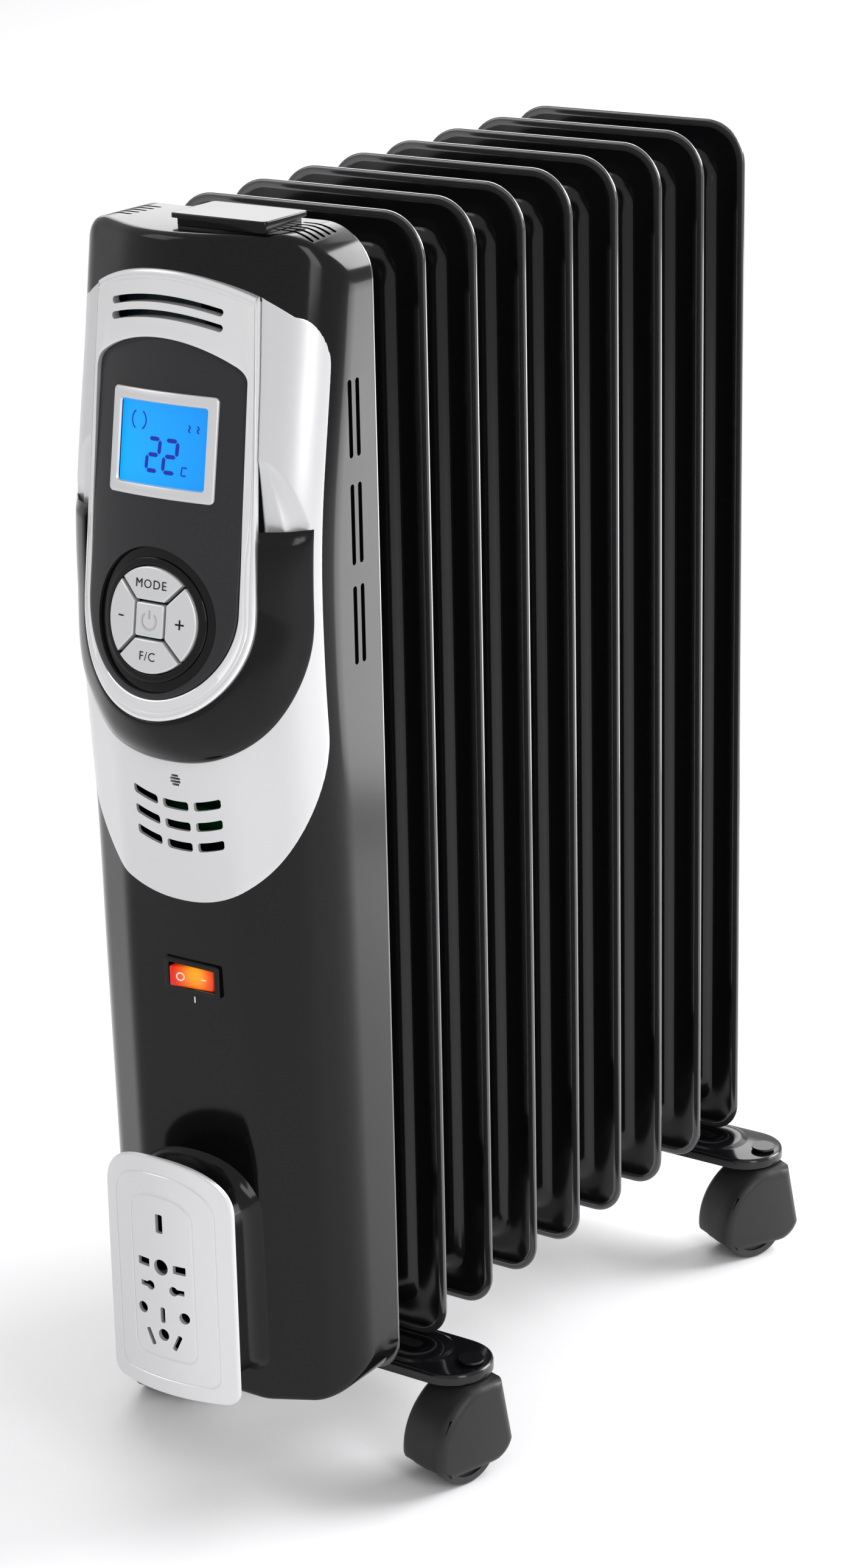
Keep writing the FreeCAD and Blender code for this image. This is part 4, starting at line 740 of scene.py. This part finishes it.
def make_panel():
    """The dark panel, with openings for the display and the keys."""
    thick, edge = 2.4, 0.5
    outline = np.array(full_loop(panel_half(-0.1)))
    centre = np.array([0.0, 500.0])
    rings = [[at(x, panel_face(x, z, lift), z) for x, z in inset(outline, distance)]
             for distance, lift in ((0, -0.5), (0.15, -0.15), (edge, 0))]
    top = inset(outline, edge)
    shares = np.linspace(1, 0, 26)
    for share in shares[1:]:
        rings.append([at(x, panel_face(x, z), z) for x, z in centre + (top - centre) * share])
    for share in shares[::-1]:
        rings.append([at(x, panel_face(x, z, -thick), z) for x, z in centre + (outline - centre) * share])
    panel = rings_object("panel", rings, wrap=True)
    opening = prism_object(rounded_rect(28.5, 23, 2, steps=4), -20, 20, DISPLAY)
    hole = prism_object(circle(0, 0, 34.1, 96), -20, 20, KEYS)
    dress(carve(panel, [opening, hole]), "panel_grey", nodes=["control_panel"])


def make_display():
    """The silver display frame, the bent window and the lit display behind it."""
    rings = [[DISPLAY(u, v, lift) for u, v in rounded_rect(half_u, half_v, radius, steps=6, sides=14)]
             for half_u, half_v, radius, lift in (
                 (30, 24.5, 2.4, 0.02), (30, 24.5, 2.4, 0.7), (29.7, 24.2, 2.2, 1.15), (29.2, 23.7, 2.0, 1.3),
                 (25.9, 19.9, 1.6, 1.3), (25.4, 19.3, 1.5, 1.15), (24.8, 18.75, 1.4, 0.1),
                 (24.8, 18.75, 1.4, -0.02), (27, 21, 1.4, -0.02), (29, 23.5, 2, 0.02))]
    dress(rings_object("display_bezel", rings, wrap=True), "silver", nodes=["display_frame"])

    def grid(half_u, half_v, lift, flat=False):
        return [[DISPLAY(u, v, lift + (fall_back(u, PANEL_BEND) if flat else 0))
                 for u in np.linspace(-half_u, half_u, 25)] for v in np.linspace(-half_v, half_v, 9)]
    pane = slab_object("display_pane", grid(28, 22.5, -0.1), grid(28, 22.5, -0.9))
    dress(pane, "screen_window", nodes=["display_window"])
    lcd = slab_object("display_lcd", grid(26, 20, -2.0), grid(26, 20, -10.6, flat=True))
    dress(lcd, "screen_blue", nodes=["lcd_module"])


def stroke(points, width, lift, place, closed=False):
    """A flat ribbon along a line, as rings for one mesh."""
    points = np.asarray(points, float)
    if closed:
        along = np.roll(points, -1, 0) - np.roll(points, 1, 0)
    else:
        along = np.gradient(points, axis=0)
    along /= np.linalg.norm(along, axis=1)[:, None]
    normal = np.stack([-along[:, 1], along[:, 0]], 1) * width / 2
    vertices, faces = [], []
    for point, side in zip(points, normal):
        vertices += [place(*(point - side), lift), place(*(point + side), lift)]
    spans = len(points) if closed else len(points) - 1
    for index in range(spans):
        a, b = 2 * index, 2 * ((index + 1) % len(points))
        faces.append((a, b, b + 1, a + 1))
    return vertices, faces


def marks_object(name, parts):
    """One piece out of several flat marks."""
    vertices, faces = [], []
    for part_vertices, part_faces in parts:
        shift = len(vertices)
        vertices += part_vertices
        faces += [tuple(shift + index for index in face) for face in part_faces]
    return to_object(name, vertices, faces)


def polygon(points, lift, place):
    """One flat face, as a part for marks_object."""
    return [place(u, v, lift) for u, v in points], [tuple(range(len(points)))]


def bar(u, v, width, height, lift, place):
    """A flat rectangle round its middle."""
    return polygon([(u + a * width / 2, v + b * height / 2) for a, b in ((-1, -1), (1, -1), (1, 1), (-1, 1))],
                   lift, place)


def text_marks(words, size, centre, lift, place):
    """Lettering in the built-in plain font, turned into flat faces."""
    data = bpy.data.curves.new("words", "FONT")
    data.body = words
    data.size = size
    data.align_x = "CENTER"
    data.align_y = "CENTER"
    data.resolution_u = 4
    data.space_character = 1.15
    holder = bpy.data.objects.new("words", data)
    scene.collection.objects.link(holder)
    bpy.context.view_layer.update()
    graph = bpy.context.evaluated_depsgraph_get()
    mesh = bpy.data.meshes.new_from_object(holder.evaluated_get(graph))
    vertices = [place(v.co.x + centre[0], v.co.y + centre[1], lift) for v in mesh.vertices]
    faces = [tuple(face.vertices) for face in mesh.polygons]
    bpy.data.objects.remove(holder)
    return vertices, faces


def make_segments():
    """The lit screen's marks: a ring, two digits, a small letter and two heat waves."""
    lift, wide, half_w, half_h, slant, gap, v = -1.9, 2.0, 3.4, 3.7, 0.5, 0.35, -5.2

    def segment(u0, v0, u1, v1):
        start, end = np.array([u0, v0]), np.array([u1, v1])
        along = (end - start) / np.linalg.norm(end - start)
        side = np.array([-along[1], along[0]]) * wide / 2
        start, end, tip = start + along * gap, end - along * gap, along * wide / 2
        return polygon([start, start + tip + side, end - tip + side, end,
                        end - tip - side, start + tip - side],
                       lift, DISPLAY)
    parts = []
    for u in (-4.9, 5.0):
        upper = (v + 2 * half_h, u - half_w + slant, u + half_w + slant)
        lower = (v - 2 * half_h, u - half_w - slant, u + half_w - slant)
        parts += [segment(upper[1], upper[0], upper[2], upper[0]), segment(upper[2], upper[0], u + half_w, v),
                  segment(u - half_w, v, u + half_w, v), segment(u - half_w, v, lower[1], lower[0]),
                  segment(lower[1], lower[0], lower[2], lower[0])]
    parts.append(stroke([(14.3, -9.4), (13.0, -9.3), (11.8, -9.4), (11.6, -11.2), (11.4, -13.0),
                         (12.6, -13.1), (13.9, -13.0)], 0.75, lift, DISPLAY))
    for start, end in ((-60, 60), (120, 240)):
        arc = [(-14.6 + 4.4 * math.cos(math.radians(a)), 9.8 + 4.7 * math.sin(math.radians(a)))
               for a in np.linspace(start, end, 18)]
        parts.append(stroke(arc, 0.8, lift, DISPLAY))
    for x in (14.5, 19.0):
        wave = [(x + 0.45 * math.sin(s * 2.2), 8.6 + 3.4 * s / 4) for s in np.linspace(-2, 2, 12)]
        parts.append(stroke(wave, 0.7, lift, DISPLAY))
    dress(marks_object("display_marks", parts), "screen_blue", finish="segment")


def key_outline(turn):
    """One quarter of the key disc with straight gaps to its neighbours and to the middle key."""
    reach = math.atan2(17.02, 18.32)
    points = [(9.2, -7.9)]
    points += [(25 * math.cos(a), 25 * math.sin(a)) for a in np.linspace(-reach, reach, 22)]
    points += [(9.2, 7.9)] + [(9.2, v) for v in (4, 0, -4)]
    c, s = math.cos(math.radians(turn)), math.sin(math.radians(turn))
    return [(u * c - v * s, u * s + v * c) for u, v in points]


def make_keys():
    """Four keys round a square one, the dark ring round them and their legends."""
    outlines = {name: key_outline(turn)
                for name, turn in (("plus", 0), ("mode", 90), ("minus", 180), ("fc", 270))}
    outlines["power"] = rounded_rect(7.9, 7.9, 1.2, steps=4, sides=4)
    for name, outline in outlines.items():
        key = rings_object(f"key_{name}_cap", button_rings(outline, -3.1, 0.9, 0.7, KEYS))
        dress(key, "silver", f"key_{name}", [f"button_{name}"])
    profile = [(25.5, -4.0), (25.5, -1.0), (25.8, -0.45), (26.4, -0.3), (28.6, -0.3), (29.1, -0.45),
               (29.4, -0.9), (29.5, -1.5), (33.0, -1.6), (33.9, -1.7), (34.0, -4.0)]
    rings = [[KEYS(u, v, lift) for u, v in circle(0, 0, radius, 96)] for radius, lift in profile]
    dress(rings_object("key_ring", rings, wrap=True), "housing_black", nodes=["keypad_ring"])
    lift, width, radius = 0.93, 0.75, 4.1
    arc = [(radius * math.sin(a), -0.4 - radius * math.cos(a)) for a in np.linspace(-2.45, 2.45, 30)]
    marks = {
        "mode": [text_marks("MODE", 5.9, (0, 16.6), lift, KEYS)],
        "fc": [text_marks("F/C", 5.9, (0, -17.2), lift, KEYS)],
        "minus": [bar(-17.25, 0, 3.3, 0.7, lift, KEYS)],
        "plus": [bar(16.9, 0, 4.6, 0.8, lift, KEYS), bar(16.9, 0, 0.8, 4.6, lift + 0.01, KEYS)],
        "power": [stroke(arc, width, lift, KEYS), stroke([(0, 0.6), (0, 2.6), (0, 4.6)], width, lift, KEYS)],
    }
    for name, parts in marks.items():
        finish = "zinc" if name == "power" else "ink"
        dress(marks_object(f"key_{name}_mark", parts), "silver", f"key_{name}", finish=finish)


# ---------------------------------------------------------------- grip, rocker and cap
def make_grip():
    """A dark band with a soft crest round the frame's lower half."""
    count = 110
    top, near, far, fold = 509.5, 50, 69, 7
    inner = [(near, top)] + line_points((near, top), (near, 468), 16) + round_end(near, 468, near, 2.0, 60)
    outer = [(far, top)] + line_points((far, top), (far, 470), 16) + round_end(far, 470, 75, 2.35, 60)
    inner, outer = resample(inner, count), resample(outer, count)
    inner = np.concatenate([inner, inner[-2::-1] * (-1, 1)])
    outer = np.concatenate([outer, outer[-2::-1] * (-1, 1)])
    rows = []
    for start, end in zip(inner, outer):
        (xi, zi), (xo, zo) = start, end
        low_in, low_out = front_depth(xi, zi) + 0.3, front_depth(xo, zo) + 0.2
        high_in = max(surround_face(xi, zi) - 1.0, low_in + 2.0)
        row = [at(xi, low_in, zi)]
        for share in (0.0, 0.03, 0.1, 0.2, 0.32, 0.44, 0.55, 0.66, 0.76, 0.86, 0.94, 0.985, 1.0):
            x, z = start + (end - start) * share
            edge = min(share, 1 - share)
            roll = 1.1 * max(0, 1 - edge / 0.07) ** 2
            swell = 3.2 * 4 * share * (1 - share) * (0.4 + 0.6 * share)
            crest = high_in * (1 - share) + (low_out + 1.3) * share + swell
            reach = min(max((top - z) / fold, 0), 1)
            crest -= (crest - low_out - 1.2) * (1 - math.sqrt(1 - (1 - reach) ** 2)) * (0.35 + 0.65 * share)
            depth = max(crest - roll, front_depth(x, z) + 0.4)
            row.append(at(x, depth, z))
        row.append(at(xo, low_out, zo))
        middle = (start + end) / 2
        row.append(at(middle[0], front_depth(*middle) + 0.3, middle[1]))
        rows.append(row)
    dress(rings_object("grip", rows, sharp=50), "housing_black", nodes=["grip_band"])


def make_rocker():
    """The rocker's frame, its lit lever in the on position and the marks on and below it."""
    face = front_depth(ROCKER_X, ROCKER_Z) + 0.35
    turn = math.radians(8)

    def place(u, v, lift):
        return at(ROCKER_X + u, face + lift, ROCKER_Z + v)

    def tilted(u, v, height):
        return (ROCKER_X + u * math.cos(turn) - v * math.sin(turn),
                ROCKER_AXIS_Y + u * math.sin(turn) + v * math.cos(turn), ROCKER_Z + height)

    def on_lever(u, v, lift):
        return tilted(u, -4.2 - 1.4 * abs(u) / 10.8 - lift, v)

    def on_shell(u, v, lift):
        x, z = ROCKER_X + u, ROCKER_Z - 12 + v
        return at(x, front_depth(x, z) + lift, z)
    rings = [[place(u, v, lift) for u, v in rounded_rect(half_u, half_v, radius, steps=4)]
             for half_u, half_v, radius, lift in (
                 (16.5, 8.25, 1.4, 0.0), (16.5, 8.25, 1.4, 1.1), (16.2, 7.95, 1.2, 1.5),
                 (15.8, 7.55, 1.0, 1.6), (13.9, 5.9, 0.6, 1.6), (13.6, 5.6, 0.5, 1.3),
                 (13.5, 5.5, 0.5, -10.0), (15.0, 6.6, 0.6, -10.0), (15.0, 6.6, 0.6, 0.0))]
    dress(rings_object("rocker_bezel", rings, wrap=True), "housing_black", nodes=["rocker_frame"])
    wing = [(11.9, -5.2), (10.6, 1.4), (2.0, 2.4)]
    brow = [(1.2, -4.25), (6, -5.0), (10.8, -5.6), (11.5, -5.55)]
    side = [(-u, v) for u, v in wing[:1] + brow[::-1]] + [(0, -4.2)] + brow + wing
    side += [(-u, v) for u, v in wing[:0:-1]]
    rings = [[tilted(u, v, h) for u, v in inset(side, cut)] for h, cut in
             ((-5.1, 0.6), (-4.9, 0.25), (-4.4, 0.0), (4.4, 0.0), (4.9, 0.25), (5.1, 0.6))]
    dress(rings_object("rocker_cap", rings), "rocker_red", "rocker", ["rocker_lever"])
    marks = [stroke(circle(-6.3, 0, 1.9), 0.6, 0.06, on_lever, closed=True),
             bar(6.45, 0, 2.9, 0.6, 0.06, on_lever)]
    dress(marks_object("rocker_marks", marks), "rocker_red", "rocker", finish="ink_pale")
    tick = [bar(0, 0, 0.7, 3.2, 0.08, on_shell)]
    dress(marks_object("rocker_tick", tick), "housing_black", finish="ink_pale")


def make_cap():
    """The flat cap on the housing's top."""
    def place(u, v, height):
        return at(19 + u, 28 - v, height)
    rings = [[place(u, v, 642.2) for u, v in rounded_rect(25, 15, 2, steps=4)],
             [place(u, v, 645.6) for u, v in rounded_rect(25, 15, 2, steps=4)]]
    rings += button_rings(rounded_rect(27, 17, 2.5, steps=4), 645.7, 648, 0.6, place)
    dress(rings_object("cap", rings), "housing_black", nodes=["top_cap"])


# ---------------------------------------------------------------- plug plate and cord hub
def arched_loop(half, low, high, drop, corner=6.0):
    """Closed outline: round top, straight sides, small lower corners."""
    right = [(half * max(math.cos(a), 0) ** (2 / 2.3), high - drop + drop * math.sin(a) ** (2 / 2.3))
             for a in np.linspace(math.pi / 2, 0, 28)]
    right += line_points((half, high - drop), (half, low + corner), 22)
    right += [(half - corner + corner * math.cos(a), low + corner - corner * math.sin(a))
              for a in np.linspace(0, math.pi / 2, 8)[1:]]
    right += line_points(right[-1], (0, low), 8)
    right[0] = (0.0, high)
    return full_loop(right)


def make_plate():
    """The silver rest for the plug: two embossed lines and holes for many kinds of pin."""
    half, low, high, arch, thick, core_cut = 38.4, 72, 199, 26, 2.2, 21.0

    def loop(cut):
        return np.array(arched_loop(half - cut, low + cut, high - cut, arch * (1 - cut / half)))

    def ring(points, lift):
        return [at(x, plate_face(x) + lift, z) for x, z in points]

    def emboss(cut, depth):
        return [(cut - 0.4, 0.0), (cut, 0.0), (cut + 0.3, -depth), (cut + 0.8, -depth), (cut + 1.1, 0.0)]
    core, centre = loop(core_cut), np.array([0.0, 131.0])
    shrunk = [centre + (core - centre) * share for share in np.linspace(0.03, 1, 12)[:-1]]
    profile = [(core_cut, -thick), (0, -thick), (0, -0.9), (0.25, -0.3), (0.9, 0.0), (1.3, 0.0)]
    profile += emboss(8.0, 0.3) + [(9.5, 0.0)] + emboss(19.4, 0.25) + [(core_cut, 0.0)]
    rings = [ring(points, -thick) for points in shrunk] + [ring(loop(cut), lift) for cut, lift in profile]
    plate = rings_object("plug_rest", rings + [ring(points, 0) for points in reversed(shrunk)], sharp=40)
    outlines = [circle(0, 141, 4.2), circle(0, 104.5, 3.2), rounded_rect(2.1, 5, 0.8, (0, 164.3), 3),
                rounded_rect(1.4, 4.2, 1.0, (0, 115.2), 3)]
    c, s = math.cos(math.radians(25)), math.sin(math.radians(25))
    for side in (-1, 1):
        slot = [(u * c + side * (v * s + 8), -side * u * s + v * c + 101.8)
                for u, v in rounded_rect(1.3, 4.6, 0.8, steps=3)]
        keyhole = [(side * (7.0 + 2.5 * math.cos(a)), 129.7 + 2.5 * math.sin(a))
                   for a in np.linspace(0.6, 5.68, 20)]
        keyhole += [(side * 13.2, 128.3), (side * 13.2, 131.1)]
        outlines += [rounded_rect(3.6, 2.2, 0.4, (side * 10.8, 141.6), 2), circle(side * 12.7, 116.2, 3.0),
                     slot, keyhole]
    dress(carve(plate, [front_cutter(outline, 85) for outline in outlines], 40), "silver",
          nodes=["plug_plate"])


def make_hub():
    """The pedestal that carries the plate, flared where it meets the housing."""
    outline, rings = arched_loop(33, 82, 187, 24), []
    for share, grow in ((-0.06, 5.0), (0.0, 4.2), (0.06, 2.8), (0.14, 1.4), (0.25, 0.5), (0.4, 0.0),
                        (0.7, 0.0), (1.0, 0.0)):
        ring = []
        for x, z in inset(outline, -grow):
            start, end = front_depth(x, z), plate_face(x) - 2.25
            ring.append(at(x, start + (end - start) * share, z))
        rings.append(ring)
    dress(rings_object("cord_pedestal", rings, sharp=60), "housing_black", nodes=["cord_hub"])


# ---------------------------------------------------------------- fins
FIN_PITCH, FIN_HALF, FIN_LOW, FIN_HIGH = 43, 72.5, 60, 640
FIN_LOW_RADIUS, FIN_HIGH_RADIUS, HIGHLIGHT_HEM_WIDTH = 17.0, 22.8, 4.2
# From the rim inwards: inset, lower and upper corner radius, distance from the fin's middle plane, and how
# much further the ring stays from the lower and the upper edge.
FIN_PROFILE = [
    (0.0, 17.0, 22.8, 0.35, 0, 0), (0.15, 16.8, 22.6, 0.8, 0, 0), (0.6, 16.4, 22.2, 1.1, 0, 0),
    (1.6, 15.4, 21.2, 1.2, 0, 0), (3.2, 14, 19.6, 1.1, 0, 0), (3.9, 13.5, 19, 0.85, 0, 0),
    (4.3, 13, 18.6, 0.55, 0, 0), (15.5, 12, 14, 0.55, 0, 0), (16.6, 12, 14, 0.8, 0, 0),
    (18.0, 13, 14, 2.2, 0, 0),
    (20.0, 14, 15, 4.1, 0, 0), (22.0, 15, 16, 5.1, 0, 0), (24.5, 16, 17, 5.5, 0, 0),
    (33, 12, 12, 5.5, 40, 74),
    (34.2, 12, 12, 5.2, 41, 75), (35.5, 12, 12, 4.5, 42, 76), (36.8, 12, 12, 4.2, 43, 77),
    (40, 12, 12, 4.2, 46, 80),
]


def fin_outline(cut, low_r, high_r, low_cut, high_cut):
    """A fin's outline moved inwards by cut, with its own corner radii."""
    half, low, high = FIN_HALF - cut, FIN_LOW + cut + low_cut, FIN_HIGH - cut - high_cut
    points = []
    for side, z, radius, start in ((1, high - high_r, high_r, 0), (-1, high - high_r, high_r, 90),
                                   (-1, low + low_r, low_r, 180), (1, low + low_r, low_r, 270)):
        for angle in np.radians(np.linspace(start, start + 90, 13)):
            points.append((side * (half - radius) + radius * math.cos(angle), z + radius * math.sin(angle)))
    return points


def rim_distance(x, z):
    """How far a point of a fin lies inside the fin's outline."""
    upper = z > (FIN_LOW + FIN_HIGH) / 2
    radius, edge = (FIN_HIGH_RADIUS, FIN_HIGH - z) if upper else (FIN_LOW_RADIUS, z - FIN_LOW)
    corner_x, corner_z = x - FIN_HALF + radius, radius - edge
    if corner_x > 0 and corner_z > 0:
        return radius - math.hypot(corner_x, corner_z)
    return min(FIN_HALF - x, edge)


def make_fin(number):
    """A pressed fin: hemmed rim, flat flange, raised chamber with a lower field inside it."""
    y = FIRST_FIN + FIN_PITCH * (number - 1)
    rings = [[(x, y + side * reach, z) for x, z in fin_outline(cut, low_r, high_r, low_cut, high_cut)]
             for side, rows in ((-1, FIN_PROFILE[::-1]), (1, FIN_PROFILE))
             for cut, low_r, high_r, reach, low_cut, high_cut in rows]
    fin = rings_object(f"fin_{number}_sheet", rings, sharp=50)
    dress(fin, "black_enamel", nodes=[f"fin_{number}"])
    # Faces near the rim take the lighter hem finish, a painted highlight on the hemmed edge.
    fin.data.materials.append(FINISH["hem_painted_highlight"])
    for face in fin.data.polygons:
        if rim_distance(abs(face.center.x) / MM, face.center.z / MM) < HIGHLIGHT_HEM_WIDTH:
            face.material_index = 1


# ---------------------------------------------------------------- feet
def make_bracket(end, y):
    """A pressed channel with round ends, a soft upper edge and a raised field between the castors."""
    profile = [(0, 56.4, 60), (17.5, 56.4, 82.5), (19.3, 55.6, 82.5), (19.7, 52.7, 82.5), (21.5, 52.7, 82.5),
               (21.5, 56.4, 82.5), (21.2, 57.5, 82.5), (20.5, 58.1, 82.5), (19.5, 58.3, 82.5),
               (18.2, 58.3, 64), (17.6, 58.6, 63.2), (16.8, 59.4, 62.4), (16.0, 59.65, 62), (0, 59.65, 60)]
    rings = []
    for radius, z, half_length in profile:
        rings.append([(side * half_length + radius * math.cos(angle), y + radius * math.sin(angle), z)
                      for side, start in ((1, -90), (-1, 90))
                      for angle in np.radians(np.linspace(start, start + 180, 25))])
    dress(rings_object(f"bracket_{end}_channel", rings, wrap=True, sharp=50), "black_bracket",
          nodes=[f"foot_bracket_{end}"])


def arc_through(start, middle, end, steps):
    """Points on the circle through three points, from the one after start to end."""
    a, b, c = (complex(*point) for point in (start, middle, end))
    ratio = (c - a) / (b - a)
    centre = a + (b - a) * (ratio - abs(ratio) ** 2) / 2j / ratio.imag
    first, between, last = (cmath.phase(point - centre) for point in (a, b, c))
    turn = (last - first) % math.tau
    if (between - first) % math.tau > turn:
        turn -= math.tau
    points = [centre + (a - centre) * cmath.rect(1, turn * step / steps) for step in range(1, steps + 1)]
    return [(point.real, point.imag) for point in points]


def make_hood(corner, side, y, turn):
    """A soft-edged castor hood with a chamber for each wheel and a bore for the pin."""
    stem_x, top, nose, tail = 94.5, 51.5, (15.5, 16), (-35.4, 15)
    c, s = math.cos(math.radians(turn)), math.sin(math.radians(turn))

    def place(across, along, height):
        return (side * stem_x + across * c - along * s, y + across * s + along * c, height)

    def side_place(along, height, across):
        return place(across, along, height)
    profile = [(9.0, top)] + line_points((9.0, top), nose, 6)
    profile += arc_through(nose, (10.5, 8.5), (1.5, 5.5), 8)
    profile += line_points((1.5, 5.5), (-26.4, 5.5), 4)
    profile += arc_through((-26.4, 5.5), (-32.4, 8.5), tail, 8)
    profile += arc_through(tail, (-30.4, 35), (-11, top), 14)
    profile += line_points((-11, top), (9.0, top), 3)[:-1]
    cuts = [(-16, 5.0), (-15.75, 3.6), (-15.1, 2.3), (-14.0, 1.1), (-12.6, 0.35), (-11, 0), (-5, 0)]
    cuts += [(-across, cut) for across, cut in reversed(cuts)]
    rings = [[place(across, v, z) for v, z in inset(profile, cut)] for across, cut in cuts]
    hood = rings_object(f"hood_{corner}", rings, sharp=40)
    chamber = [(-31, 0), (-33, 9), (-33.7, 16), (-32.6, 25), (-29.5, 34), (-26.2, 39.5), (9.4, 39.5),
               (13.2, 17), (9.0, 9.5), (3.5, 6), (3.5, 0)]
    skirt = [(-45, -4), (-45, 13.5), (-31, 12.4), (-27.5, 9.5), (-25.5, 4), (-25.5, -4)]
    cutters = [prism_object(outline, near, far, side_place) for outline, near, far in
               ((chamber, -14.4, -4), (chamber, 4, 14.4), (skirt, -20, 20))]
    cutters.append(prism_object(circle(0, 0, 4.1), 40, 60, place))
    hood = carve(hood, cutters, 40, overlapping=True)
    dress(hood, "hood_grey", f"castor_{corner}", [f"castor_hood_{corner}"])


make_shell()
make_bezel()
make_surround()
make_panel()
make_display()
make_segments()
make_keys()
make_grip()
make_rocker()
make_cap()
make_plate()
make_hub()
for fin_number in range(1, 10):
    make_fin(fin_number)
for bracket_end, bracket_y, rest_turn in (("front", -97.75, 16), ("rear", 205.25, 27)):
    make_bracket(bracket_end, bracket_y)
    for side_letter, side_sign in (("l", -1), ("r", 1)):
        make_hood(bracket_end[0] + side_letter, side_sign, bracket_y, -side_sign * rest_turn)

# ---------------------------------------------------------------- nodes that keep their CAD shape
for name, node in frame["nodes"].items():
    node.data.materials.clear()
    node.data.materials.append(FINISH["pin_black" if name == "castor_pins" else SLOT_OF[name]])
    node.data.polygons.foreach_set("use_smooth", [True] * len(node.data.polygons))
    node.data.set_sharp_from_angle(angle=math.radians(35))

# ---------------------------------------------------------------- floor
floor_mesh = bpy.data.meshes.new("floor")
floor_mesh.from_pydata([(-6, -6, 0), (6, -6, 0), (6, 8, 0), (-6, 8, 0)], [], [(0, 1, 2, 3)])
floor = bpy.data.objects.new("floor", floor_mesh)
floor.location.z = -0.0002
floor_mesh.materials.append(principled("floor_paper", (0.82, 0.82, 0.83), 0.55))
scene.collection.objects.link(floor)

bpy.context.view_layer.update()
